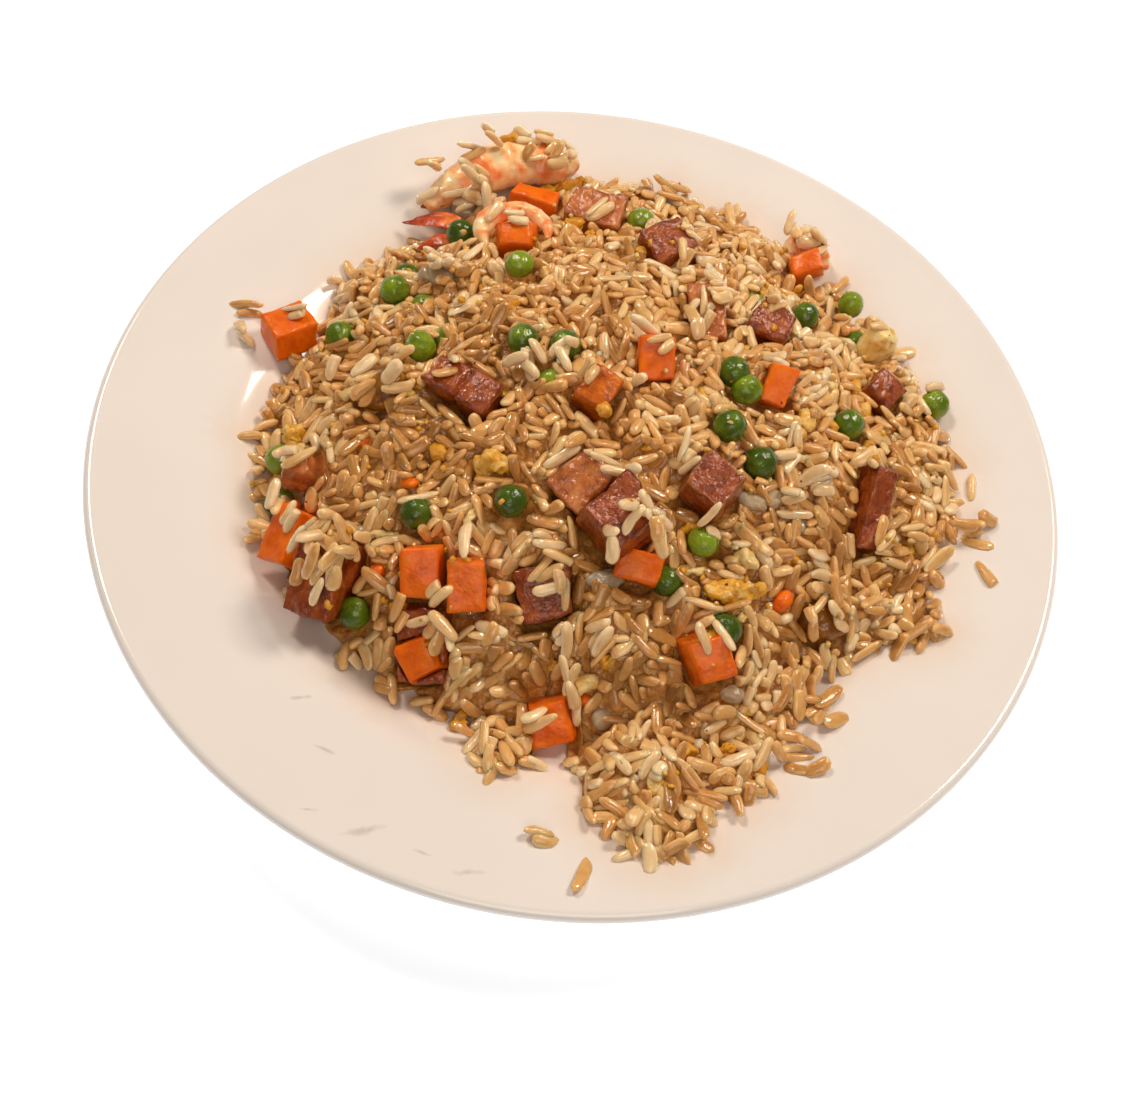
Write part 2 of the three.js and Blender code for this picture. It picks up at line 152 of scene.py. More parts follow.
def rounded_noise(points: Array, layers: Iterable[tuple[float, float]], seed: int) -> Array:
    """Sum of several noises, each with its own size and depth in millimetres.

    Args:
        points: n by 3 places in millimetres.
        layers: size and depth of each noise.
        seed: picks the noises.

    Returns:
        A value in millimetres for each place.
    """
    total = np.zeros(len(points))
    for number, (size, depth) in enumerate(layers):
        total = total + depth * smooth_noise(points, size, seed + number)
    return total


def ball_shape(detail: int) -> Shape:
    """A ball of radius 1, made of triangles of one size.

    Args:
        detail: how fine the faces are, from 1.

    Returns:
        The ball.
    """
    made = bmesh.new()
    bmesh.ops.create_icosphere(made, subdivisions=detail, radius=1.0)
    points = np.array([vert.co for vert in made.verts])
    faces = [tuple(vert.index for vert in face.verts) for face in made.faces]
    made.free()
    return Shape(points, faces)


def tube_faces(rings: int, sides: int) -> list[Sequence[int]]:
    """Faces of a closed tube, whose points are its rings, and then the middles of its two ends.

    Args:
        rings: rings of points along the tube.
        sides: points in a ring.

    Returns:
        Point numbers of each face, which looks outwards.
    """
    tail, head, last = rings * sides, rings * sides + 1, (rings - 1) * sides
    faces: list[Sequence[int]] = []
    for k in range(sides):
        after = (k + 1) % sides
        faces.append((tail, after, k))
        faces.append((head, last + k, last + after))
        for near in range(0, last, sides):
            far = near + sides
            faces.append((near + k, near + after, far + after, far + k))
    return faces


def lathe_shape(profile: Array, segments: int) -> Shape:
    """Turns a profile of radius and height, which starts and ends on the axis, about +Z.

    Args:
        profile: radius and height of each point of the section.
        segments: points round the axis.

    Returns:
        The turned shape.
    """
    angles = np.linspace(0, 2 * np.pi, segments, endpoint=False)
    radii, heights = profile[1:-1].T[:, :, None]
    rings = np.stack([radii * np.cos(angles), radii * np.sin(angles), heights + 0 * angles], axis=-1)
    points = np.vstack([rings.reshape(-1, 3), [0, 0, profile[0][1]], [0, 0, profile[-1][1]]])
    return Shape(points, tube_faces(len(radii), segments))


def lump_shape(size: Size, detail: int, uneven: float, seed: int) -> Shape:
    """A soft lump about its own middle.

    Args:
        size: its extents.
        detail: how fine the faces are, from 1.
        uneven: depth of its lobes, as a share of its smallest extent.
        seed: picks its form.

    Returns:
        The lump.
    """
    ball = ball_shape(detail)
    extents = np.array(size)
    least = float(extents.min())
    shape = Shape(ball.points * extents / 2, ball.faces)
    layers = [(0.55 * least, uneven * least), (0.25 * least, 0.35 * uneven * least)]
    shape.swell(rounded_noise(shape.points, layers, seed))
    return shape


def curve_through(places: Array, count: int) -> Array:
    """Evenly numbered points on a smooth curve through some places of any number of values each.

    Args:
        places: rows of values, such as x, y, z and a thickness.
        count: how many points.

    Returns:
        A row of values for each point.
    """
    knots = np.vstack([2 * places[0] - places[1], places, 2 * places[-1] - places[-2]])
    spots = np.linspace(0, len(places) - 1, count)
    piece = np.minimum(spots.astype(int), len(places) - 2)
    t = (spots - piece)[:, None]
    a, b, c, d = (knots[piece + k] for k in range(4))
    return 0.5 * (2 * b + (c - a) * t + (2 * a - 5 * b + 4 * c - d) * t**2 + (3 * b - a - 3 * c + d) * t**3)


def swept_shape(line: Array, widths: Array, heights: Array, sides: int) -> Shape:
    """A closed tube along a line, with its own half width and half height at each point.

    Args:
        line: n by 3 places of its middle.
        widths: half width at each of them.
        heights: half height at each of them.
        sides: points round it.

    Returns:
        The tube, with "along" from 0 to 1, and "back" from -1 under it to 1 on top.
    """
    ahead = np.gradient(line, axis=0)
    ahead = ahead / np.linalg.norm(ahead, axis=1, keepdims=True)
    side = np.cross(ahead, (0.0, 0.0, 1.0))
    side = side / np.maximum(np.linalg.norm(side, axis=1, keepdims=True), 1e-6)
    up = np.cross(side, ahead)
    angles = np.linspace(0, 2 * np.pi, sides, endpoint=False)
    across = np.cos(angles)[None, :, None] * widths[:, None, None] * side[:, None, :]
    over = np.sin(angles)[None, :, None] * heights[:, None, None] * up[:, None, :]
    rings = line[:, None, :] + across + over
    points = np.vstack([rings.reshape(-1, 3), line[0], line[-1]])
    count = len(line)
    along = np.append(np.repeat(np.linspace(0, 1, count), sides), [0.0, 1.0])
    back = np.append(np.tile(np.sin(angles), count), [0.0, 0.0])
    return Shape(points, tube_faces(count, sides), {"along": along, "back": back})


def cad_shape(node: str) -> Shape:
    """A node's solid as the frame holds it, with its shared points merged.

    Args:
        node: the node's name.

    Returns:
        Its solid, in millimetres.
    """
    made = bmesh.new()
    made.from_mesh(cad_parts[node].data)
    bmesh.ops.remove_doubles(made, verts=made.verts, dist=0.002 * MM)
    points = np.array([vert.co for vert in made.verts]) / MM
    faces = [tuple(vert.index for vert in face.verts) for face in made.faces]
    made.free()
    return Shape(points, faces)


def softened(shape: Shape, grid: float, passes: int) -> Shape:
    """Rebuilds a closed shape from small even faces, with its corners worn round.

    Args:
        shape: the plain closed shape.
        grid: size of the new faces in millimetres.
        passes: how often each point is moved towards its neighbours.

    Returns:
        The new shape. Its value "edge" is above 0 along outer edges and below 0 in hollows.
    """
    mesh = bpy.data.meshes.new("draft")
    mesh.from_pydata(shape.points.tolist(), [], shape.faces)
    draft = bpy.data.objects.new("draft", mesh)
    bpy.context.scene.collection.objects.link(draft)
    voxels = draft.modifiers.new("voxels", "REMESH")
    voxels.mode = "VOXEL"
    voxels.voxel_size = grid
    smooth = draft.modifiers.new("smooth", "SMOOTH")
    wear = 10  # further passes, which show where the edges are
    taken = []
    for count in (passes, passes + wear):
        smooth.iterations = count
        graph = bpy.context.evaluated_depsgraph_get()
        worn = draft.evaluated_get(graph).to_mesh()
        points = np.empty(3 * len(worn.vertices))
        worn.vertices.foreach_get("co", points)
        faces = [tuple(face.vertices) for face in worn.polygons]
        taken.append(Shape(points.reshape(-1, 3), faces))
    bpy.data.objects.remove(draft)
    bpy.data.meshes.remove(mesh)
    sharp, dull = taken
    sharp.values["edge"] = np.clip(((sharp.points - dull.points) * sharp.normals()).sum(axis=1) / grid, -1, 1)
    return sharp


def fitted_ball(points: Array) -> tuple[Array, float]:
    """Fits a ball to the points that lie on it, whatever was cut off it.

    Args:
        points: n by 3 places on the cut ball.

    Returns:
        The ball's middle and its radius.
    """
    kept = points
    for _ in range(4):
        system = np.column_stack([2 * kept, np.ones(len(kept))])
        answer = np.linalg.lstsq(system, (kept**2).sum(axis=1), rcond=None)[0]
        middle = answer[:3]
        radius = math.sqrt(answer[3] + middle @ middle)
        miss = np.abs(np.linalg.norm(kept - middle, axis=1) - radius)
        kept = kept[miss <= max(np.median(miss) * 2.5, 0.02)]
    return middle, radius


def cast_down(tree: BVHTree, xs: Array, ys: Array) -> Array:
    """Height at which a ray from above meets a shape at each place, or NOWHERE where it misses.

    Args:
        tree: the shape.
        xs: x of each place.
        ys: y of each place.

    Returns:
        A height in millimetres for each place.
    """
    heights = np.full(xs.shape, NOWHERE)
    for index in np.ndindex(xs.shape):
        place = tree.ray_cast(Vector((xs[index], ys[index], SKY)), DOWN)[0]
        if place is not None:
            heights[index] = place.z
    return heights


# ------------------------------------------------------------------ finishes


def linear(code: str) -> tuple[float, float, float, float]:
    """An sRGB colour, such as "#EFE3D6", as linear red, green, blue and alpha.

    Args:
        code: the colour as # and six hexadecimal digits.

    Returns:
        The four values that Blender takes.
    """
    shares = [int(code[k : k + 2], 16) / 255 for k in (1, 3, 5)]
    red, green, blue = (s / 12.92 if s <= 0.04045 else ((s + 0.055) / 1.055) ** 2.4 for s in shares)
    return red, green, blue, 1.0


def per_mm(size: float) -> float:
    """Scale of a pattern whose features are size millimetres across, in a space of metres."""
    return 1 / (size * MM)


def add_node(
    tree: bpy.types.NodeTree,
    kind: str,
    inputs: dict | None = None,
    stops: Sequence[tuple[float, str]] = (),
    **settings: object,
) -> bpy.types.Node:
    """Adds a node with its settings and links.

    Args:
        tree: node tree that gets the node.
        kind: the node's type, without its "ShaderNode".
        inputs: value or linked output for each input, by its name or number.
        stops: place and sRGB colour of each stop, for a colour ramp.
        settings: values of the node's own properties.

    Returns:
        The new node.
    """
    node = tree.nodes.new("ShaderNode" + kind)
    for name, value in settings.items():
        setattr(node, name, value)
    for name, value in (inputs or {}).items():
        if isinstance(value, bpy.types.NodeSocket):
            tree.links.new(value, node.inputs[name])
        else:
            node.inputs[name].default_value = value
    if stops:
        elements = node.color_ramp.elements
        while len(elements) < len(stops):
            elements.new(0.5)
        for element, (place, code) in zip(elements, stops):
            element.position = place
            element.color = linear(code)
    return node


class Mix:
    """Numbers of a colour Mix node's sockets, whose names are not unique."""

    FACTOR = 0
    FROM = 6
    TO = 7
    RESULT = 2


@dataclass(frozen=True)
class Finish:
    """A surface's name and the record's material slot that it belongs to."""

    name: str
    slot: str

    def material(self) -> bpy.types.Material:
        """Makes the Blender material on first use.

        Returns:
            The material, which pieces with the same finish share.
        """
        made = bpy.data.materials.get(self.name)
        if made is None:
            made = bpy.data.materials.new(self.name)
            made.use_nodes = True
            made.node_tree.nodes.clear()
            surface = self.shader(made.node_tree)
            add_node(made.node_tree, "OutputMaterial", {"Surface": surface.outputs[0]})
        return made

    def shader(self, tree: bpy.types.NodeTree) -> bpy.types.Node:
        """Wires the surface and returns its last node."""
        raise NotImplementedError


@dataclass(frozen=True)
class GlazedPorcelain(Finish):
    """Slip-cast glazed porcelain: smooth cream with clear soft reflections; near the food, oil and a painted
    reflection of it.
    """

    body: str = "#F0EAE7"
    shade: str = "#EDE7E4"
    cloud_size: float = 45.0  # mm across a paler or darker patch of the glaze
    # Colour of the oily ring: thin sauce and oil round the food, with the food's warm reflection in the glaze
    # painted in too.
    oil_and_reflection_colour: str = "#E3B88A"  # thin film of sauce and oil round the food
    scuff: str = "#A79A90"  # metal left by cutlery
    scuffs: tuple[tuple[float, float, float, float], ...] = ()  # x, y, bearing and length of each

    def shader(self, tree: bpy.types.NodeTree) -> bpy.types.Node:
        """Glaze over two close creams, with an oily ring that also paints the food's reflection, and a few
        metal marks.

        Args:
            tree: node tree of the material.

        Returns:
            The surface's node.
        """
        place = add_node(tree, "TexCoord").outputs["Object"]
        cloud = add_node(tree, "TexNoise", {"Vector": place, "Scale": per_mm(self.cloud_size), "Detail": 2.0})
        creams = [(0.35, self.shade), (0.65, self.body)]
        colour = add_node(tree, "ValToRGB", {0: cloud.outputs[0]}, stops=creams).outputs[0]
        # Oily ring round the food: partly real oil, partly the food's reflection painted into the glaze's
        # colour.
        film = add_node(tree, "Attribute", attribute_name="film").outputs["Fac"]
        for code, share in ((self.oil_and_reflection_colour, film), (self.scuff, self.metal(tree, place))):
            inputs = {Mix.FACTOR: share, Mix.FROM: colour, Mix.TO: linear(code)}
            colour = add_node(tree, "Mix", inputs, data_type="RGBA").outputs[Mix.RESULT]
        wobble = add_node(tree, "TexNoise", {"Vector": place, "Scale": per_mm(14), "Detail": 1.0}).outputs[0]
        bump = add_node(tree, "Bump", {"Height": wobble, "Strength": 0.05, "Distance": 0.4 * MM})
        inputs = {
            "Base Color": colour,
            "Roughness": 0.12,
            "IOR": 1.5,
            "Coat Weight": 0.4,
            "Coat Roughness": 0.05,
            "Normal": bump.outputs[0],
        }
        return add_node(tree, "BsdfPrincipled", inputs)

    def metal(self, tree: bpy.types.NodeTree, place: bpy.types.NodeSocket) -> bpy.types.NodeSocket | float:
        """Share of metal at each place, in ragged ovals.

        Args:
            tree: node tree of the material.
            place: coordinates in the plate's own space.

        Returns:
            The share's output, or 0 without scuffs.
        """
        wander = add_node(tree, "TexNoise", {"Vector": place, "Scale": per_mm(2.5), "Detail": 3.0}).outputs[0]
        share: bpy.types.NodeSocket | float = 0.0
        for x, y, bearing, length in self.scuffs:
            inputs = {
                "Vector": place,
                "Location": (x * MM, y * MM, 0),
                "Rotation": (0, 0, math.radians(bearing)),
                "Scale": (length * MM / 2, length * MM / 9, 1),
            }
            oval = add_node(tree, "Mapping", inputs, vector_type="TEXTURE").outputs[0]
            away = add_node(tree, "VectorMath", {0: oval}, operation="LENGTH").outputs["Value"]
            inputs = {0: wander, 1: -1.6, 2: away}
            ragged = add_node(tree, "Math", inputs, operation="MULTIPLY_ADD").outputs[0]
            inputs = {"Value": ragged, "From Min": 0.2, "From Max": -0.6, "To Max": 0.4}
            mark = add_node(tree, "MapRange", inputs).outputs[0]
            share = add_node(tree, "Math", {0: share, 1: mark}, operation="MAXIMUM").outputs[0]
        return share


@dataclass(frozen=True)
class MoistFood(Finish):
    """Cooked food with a wet skin: patches of colour, light that sinks in, and small sharp glints."""

    dark: str = "#000000"
    mid: str = "#808080"
    light: str = "#FFFFFF"
    patch: float = 4.0  # mm across one patch of colour
    tone_reach: float = 0.0  # how far a piece's own tone moves it from dark to light
    edge: str | None = None  # colour along worn outer edges
    # rim: a painted highlight, a paler colour on a grain's flanks and ends, where its clear edges catch the
    # light
    rim: str | None = None  # colour of a grain's flanks and ends
    roughness: float = 0.35
    ior: float = 1.4
    clearness: float = 0.0  # share of the light that passes through
    sink: float = 0.25  # share of the light that sinks in
    depth: float = 1.0  # mm that light sinks in
    glow: Vec3 = (1.0, 0.5, 0.25)  # how far red, green and blue sink in, as a share of depth
    coat: float = 0.3
    coat_roughness: float = 0.15
    bump: float = 0.15  # mm
    bump_size: float = 0.8
    glint: float = 0.05  # mm, depth of the grit that breaks reflections up into sparks
    glint_size: float = 0.45  # coarser than real, since real grit is too fine to show

    def shader(self, tree: bpy.types.NodeTree) -> bpy.types.Node:
        """Patches of colour, worn edges and a painted rim highlight over one scattering, coated surface.

        Args:
            tree: node tree of the material.

        Returns:
            The surface's node.
        """
        place = add_node(tree, "TexCoord").outputs["Object"]
        patches = add_node(tree, "TexNoise", {"Vector": place, "Scale": per_mm(self.patch), "Detail": 2.0})
        share = patches.outputs[0]
        if self.tone_reach:
            tone = add_node(tree, "Attribute", attribute_name="tone").outputs["Fac"]
            inputs = {0: tone, 1: self.tone_reach, 2: share}
            share = add_node(tree, "Math", inputs, operation="MULTIPLY_ADD").outputs[0]
        tones = [(0.25, self.dark), (0.5, self.mid), (0.75, self.light)]
        colour = add_node(tree, "ValToRGB", {0: share}, stops=tones).outputs[0]
        for name, code, start, full, most in (
            ("edge", self.edge, 0.05, 0.6, 0.85),
            # painted rim highlight on a grain's flanks and ends, where its clear edges catch the light
            ("rim", self.rim, 0.3, 0.95, 0.8),
        ):
            if code is None:
                continue
            value = add_node(tree, "Attribute", attribute_name=name).outputs["Fac"]
            inputs = {"Value": value, "From Min": start, "From Max": full, "To Max": most}
            shown = add_node(tree, "MapRange", inputs).outputs[0]
            inputs = {Mix.FACTOR: shown, Mix.FROM: colour, Mix.TO: linear(code)}
            colour = add_node(tree, "Mix", inputs, data_type="RGBA").outputs[Mix.RESULT]
        normals = []
        for size, detail, height in ((self.bump_size, 2.0, self.bump), (self.glint_size, 0.0, self.glint)):
            noise = add_node(tree, "TexNoise", {"Vector": place, "Scale": per_mm(size), "Detail": detail})
            inputs = {"Height": noise.outputs[0], "Strength": 1.0, "Distance": height * MM}
            if normals:
                inputs["Normal"] = normals[0]
            normals.append(add_node(tree, "Bump", inputs).outputs[0])
        inputs = {
            "Base Color": colour,
            "Roughness": self.roughness,
            "IOR": self.ior,
            "Subsurface Weight": self.sink,
            "Subsurface Radius": self.glow,
            "Subsurface Scale": self.depth * MM,
            "Transmission Weight": self.clearness,
            "Coat Weight": self.coat,
            "Coat Roughness": self.coat_roughness,
            "Normal": normals[0],
            "Coat Normal": normals[1],
        }
        return add_node(tree, "BsdfPrincipled", inputs)


@dataclass(frozen=True)
class PaintedFloor(Finish):
    """Matt white film on a light table: a plain pale floor that throws little shadow."""

    colour: str = "#F0F5FA"
    glow_colour: str = "#F4F8FF"
    glow: float = 0.52

    def shader(self, tree: bpy.types.NodeTree) -> bpy.types.Node:
        """A matt surface that glows a little.

        Args:
            tree: node tree of the material.

        Returns:
            The surface's node.
        """
        inputs = {
            "Base Color": linear(self.colour),
            "Roughness": 0.9,
            "Emission Color": linear(self.glow_colour),
            "Emission Strength": self.glow,
        }
        return add_node(tree, "BsdfPrincipled", inputs)


def make_object(name: str, shape: Shape, finish: Finish, replaced: Sequence[str] = ()) -> bpy.types.Object:
    """Makes a piece of the food or plate from a shape.

    Args:
        name: name of the piece.
        shape: the shape, in millimetres.
        finish: how it looks.
        replaced: nodes that the piece stands for.

    Returns:
        The object, which rides with the plate.
    """
    mesh = bpy.data.meshes.new(name)
    mesh.from_pydata((shape.points * MM).tolist(), [], shape.faces)
    mesh.polygons.foreach_set("use_smooth", [True] * len(mesh.polygons))
    for value_name, values in shape.values.items():
        mesh.attributes.new(value_name, "FLOAT", "POINT").data.foreach_set("value", values.astype(np.float32))
    mesh.materials.append(finish.material())
    made = bpy.data.objects.new(name, mesh)
    bpy.context.scene.collection.objects.link(made)
    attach(made, "root")
    if replaced:
        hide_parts(*replaced)
    return made


def nodes_of(kind: str) -> list[str]:
    """Names of the frame's nodes of a kind, such as "pea", in order."""
    return sorted(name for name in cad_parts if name.rpartition("_")[0] == kind)


# ------------------------------------------------------------------ plate


@dataclass
class Plate:
    """The glazed plate: a flat well, a curved shoulder, a sloping rim with a rolled lip, and a foot ring."""

    radius: float = 140.0
    height: float = 25.0
    well_top: float = 7.0
    well_radius: float = 84.0
    shoulder_radius: float = 104.0
    cove_rise: float = 7.5
    rim_start: float = 98.0
    rim_slope: float = 0.26
    rim_blend: float = 4.0
    thickness: float = 4.0
    lip_radius: float = 2.0
    foot_outer: float = 68.0
    foot_inner: float = 62.0
    foot_recess: float = 2.5
    foot_chamfer: float = 1.5
    segments: int = 288
    finish: GlazedPorcelain = GlazedPorcelain(
        "porcelain_slip_cast",
        "glazed_porcelain",
        scuffs=(
            (-62, -90, 20, 7), (-52, -104, -15, 6), (-52, -122, 8, 5), (-38, -125, 25, 12),
            (-22, -128, -10, 6), (-10, -131, 10, 9),
        ),
    )

    def top(self, radius: Array) -> Array:
        """Height of the upper face at each distance from the middle.

        Args:
            radius: distances from the middle.

        Returns:
            A height for each of them.
        """
        past = radius - self.rim_start
        soft = np.clip(past + self.rim_blend, 0, 2 * self.rim_blend) ** 2 / (4 * self.rim_blend)
        ramp = np.where(past > self.rim_blend, past, soft)
        share = np.clip((radius - self.well_radius) / (self.shoulder_radius - self.well_radius), 0, 1)
        return self.well_top + self.cove_rise * share**2 * (3 - 2 * share) + self.rim_slope * ramp

    def profile(self) -> Array:
        """Radius and height of the whole section, from under the middle outwards and back over the top.

        Returns:
            A row for each point of the section.
        """
        under = np.linspace(self.foot_outer + 8, self.radius - 2.6 * self.lip_radius, 18)
        turn = np.radians(np.linspace(-65, 112, 14))
        lip_outs = self.radius - self.lip_radius * (1 - np.cos(turn))
        lip_heights = self.height - self.lip_radius * (1 - np.sin(turn))
        rim = np.linspace(self.radius - 2.4 * self.lip_radius, self.well_radius, 22)
        over = np.append(rim, [60, 35, 12])
        foot = [
            (0, self.foot_recess),
            (30, self.foot_recess),
            (self.foot_inner - self.foot_chamfer, self.foot_recess),
            (self.foot_inner - 0.3, 0.4),
            (self.foot_inner + 0.5, 0.0),
            (self.foot_outer - 0.5, 0.0),
            (self.foot_outer + 0.3, 0.4),
            (self.foot_outer + self.foot_chamfer, self.well_top - self.thickness),
        ]
        underside = np.column_stack([under, self.top(under) - self.thickness])
        lip = np.column_stack([lip_outs, lip_heights])
        upper = np.column_stack([over, self.top(over)])
        return np.vstack([foot, underside, lip, upper, [(0, self.well_top)]])

    def build(self, film: "OilAndReflection") -> bpy.types.Object:
        """Makes the plate.

        Args:
            film: how oily the glaze is at each place, with the food's reflection painted into the same tint.

        Returns:
            The plate's object, which replaces its node.
        """
        shape = lathe_shape(self.profile(), self.segments)
        # Oil round the heap, and the food's reflection painted into the same tint.
        shape.values["film"] = film.at(shape.points)
        return make_object("plate_glazed", shape, self.finish, ["plate"])


@dataclass
class OilAndReflection:
    """Thin oil that has crept out over the plate from under the heap, with the food's warm reflection painted
    into it.
    """

    ground: "Ground"
    reach: float = 16.0  # mm from the heap's edge to where it ends
    most: float = 0.55
    steps: int = 12
    bearings: int = 16

    def at(self, points: Array) -> Array:
        """Share of the oily tint at each place on the plate, which also paints the food's reflection.

        Args:
            points: n by 3 places on the plate.

        Returns:
            A share from 0 to 1 for each place.
        """
        shares = np.zeros(len(points))
        for bearing in np.linspace(0, 2 * np.pi, self.bearings, endpoint=False):
            for step in range(1, self.steps + 1):
                far = self.reach * step / self.steps
                xs = points[:, 0] + far * math.cos(bearing)
                ys = points[:, 1] + far * math.sin(bearing)
                near = self.ground.goal[self.ground.cells(xs, ys)] > NOWHERE
                shares = np.where(near, np.maximum(shares, 1 - step / self.steps), shares)
        patchy = 0.65 + 0.35 * smooth_noise(points, 22.0, SEED)
        return self.most * shares**1.6 * patchy


# ------------------------------------------------------------------ ground for the grains


@dataclass
class Ground:
    """Square grid of heights: what has been laid so far, and how high the heap has to come.

    Attributes:
        half: half the side of the grid.
        pitch: side of one cell.
        bare: height of the plate.
        laid: height that a grain would rest on.
        goal: height that the heap has to reach, or NOWHERE beyond the heap.
        kept: True where a topping shows, and grains are to leave it bare.
    """

    half: float
    pitch: float
    bare: Array
    laid: Array
    goal: Array
    kept: Array

    @classmethod
    def measure(cls, plate: Plate, rice: BVHTree) -> "Ground":
        """Measures the bare plate and the heap, and starts the laid rice well under the heap's uneven goal.

        Args:
            plate: the plate under the food.
            rice: the heap's solid.

        Returns:
            The ground, with nothing kept yet.
        """
        half, pitch, depth = 129.0, 0.6, 6.5  # depth: how far under the goal the laid rice starts
        axis = np.arange(-half, half + pitch / 2, pitch)
        xs, ys = np.meshgrid(axis, axis, indexing="ij")
        coarse = 2
        found = cast_down(rice, xs[::coarse, ::coarse], ys[::coarse, ::coarse])
        goal = np.repeat(np.repeat(found, coarse, axis=0), coarse, axis=1)[: len(axis), : len(axis)]
        bare = plate.top(np.hypot(xs, ys))
        flat = np.column_stack([xs.ravel(), ys.ravel(), np.zeros(xs.size)])
        rough = rounded_noise(flat, [(7.0, 1.2), (3.0, 0.7)], SEED).reshape(xs.shape)
        laid = np.maximum(bare, goal - depth + rough)
        uneven = 1.3 - rounded_noise(flat, [(13.0, 2.0), (6.0, 1.1)], SEED + 7).reshape(xs.shape)
        goal = np.where(goal > NOWHERE, goal - np.minimum(uneven, 0.35 * (goal - bare)), NOWHERE)
        return cls(half, pitch, bare, laid, goal, np.zeros(goal.shape, bool))

    def cells(self, xs: Array | float, ys: Array | float) -> tuple[Array, Array]:
        """Row and column of the cell at each place.

        Args:
            xs: x of each place.
            ys: y of each place.

        Returns:
            The rows and the columns, with places off the grid moved to its edge.
        """
        last = len(self.laid) - 1
        rows = np.clip(np.rint((xs + self.half) / self.pitch), 0, last).astype(int)
        cols = np.clip(np.rint((ys + self.half) / self.pitch), 0, last).astype(int)
        return rows, cols

    def places(self, rows: Array, cols: Array) -> tuple[Array, Array]:
        """Place of each cell's middle."""
        return rows * self.pitch - self.half, cols * self.pitch - self.half

    def window(self, low: Sequence[float], high: Sequence[float]) -> tuple[tuple[slice, slice], Array, Array]:
        """Finds the cells between two corners.

        Args:
            low: x and y of the lowest corner.
            high: x and y of the highest corner.

        Returns:
            The slices, and the x and the y of each cell in them.
        """
        (row_low, row_high), (col_low, col_high) = self.cells(*np.array([low[:2], high[:2]]).T)
        rows, cols = np.mgrid[row_low : row_high + 1, col_low : col_high + 1]
        return np.s_[row_low : row_high + 1, col_low : col_high + 1], *self.places(rows, cols)

    def raise_over(self, shapes: Sequence[Shape], keep: bool) -> None:
        """Raises the ground to the upper sides of some shapes.

        Args:
            shapes: the shapes that lie there.
            keep: whether grains are to leave them bare.
        """
        for shape in shapes:
            tree = BVHTree.FromPolygons(shape.points.tolist(), shape.faces)
            cells, xs, ys = self.window(shape.points.min(axis=0), shape.points.max(axis=0))
            tops = cast_down(tree, xs, ys)
            above = tops > self.laid[cells]
            self.laid[cells] = np.where(above, tops, self.laid[cells])
            self.kept[cells] |= above & keep

    def shortfall(self) -> Array:
        """How far each cell is below the heap's goal."""
        missing = np.where(self.goal > NOWHERE, self.goal - self.laid, 0.0)
        return np.where(self.kept, 0.0, np.maximum(missing, 0.0))


# ------------------------------------------------------------------ grains


class GrainKind(Enum):
    """Kinds of grain, by how much sauce and heat they took."""

    WHITE = "white"
    CREAM = "cream"
    TAN = "tan"
    GOLDEN = "golden"
    BROWN = "brown"


# Boiled long-grain rice, fried in oil and soy sauce: light sinks into the starchy grains, and their thin coat
# of oil gives small sharp glints. The more sauce a kind took, the darker and browner it is.
# The fourth colour of each kind is a painted highlight: flanks and ends made paler, where a clear grain
# catches the light.
GRAIN_COLOURS = {
    GrainKind.WHITE: ("#E6C08A", "#EECC9A", "#F4D8AA", "#F6DEB8"),
    GrainKind.CREAM: ("#DCAE6E", "#E6BC7E", "#EEC88E", "#F4D29C"),
    GrainKind.TAN: ("#CE9654", "#DAA662", "#E4B472", "#F0C484"),
    GrainKind.GOLDEN: ("#BE8644", "#CC9652", "#DAA462", "#E8B676"),
    GrainKind.BROWN: ("#9A662C", "#B07A38", "#C28C46", "#D6A25C"),
}
GRAIN_FINISHES = {
    kind: MoistFood(
        f"rice_{kind.value}", "cooked_rice", dark=dark, mid=mid, light=light, rim=rim, patch=3.0,
        tone_reach=0.3, roughness=0.18, ior=1.36, sink=0.8, depth=1.3, glow=(1.0, 0.95, 0.88), coat=1.0,
        coat_roughness=0.05, bump=0.12, bump_size=0.9, glint=0.025,
    )
    for kind, (dark, mid, light, rim) in GRAIN_COLOURS.items()
}

# Shares of the grains that are darker than each kind's upper limit.
KIND_LIMITS = [
    (0.10, GrainKind.BROWN),
    (0.34, GrainKind.GOLDEN),
    (0.62, GrainKind.TAN),
    (0.86, GrainKind.CREAM),
    (1.01, GrainKind.WHITE),
]


@dataclass
class Grain:
    """One grain where it lies.

    Attributes:
        middle: its middle.
        axis: unit vector along it.
        up: unit vector out of its upper side.
        size: length, width and thickness.
        shade: from 0, darkest, to 1, palest.
    """

    middle: Array
    axis: Array
    up: Array
    size: Size
    shade: float


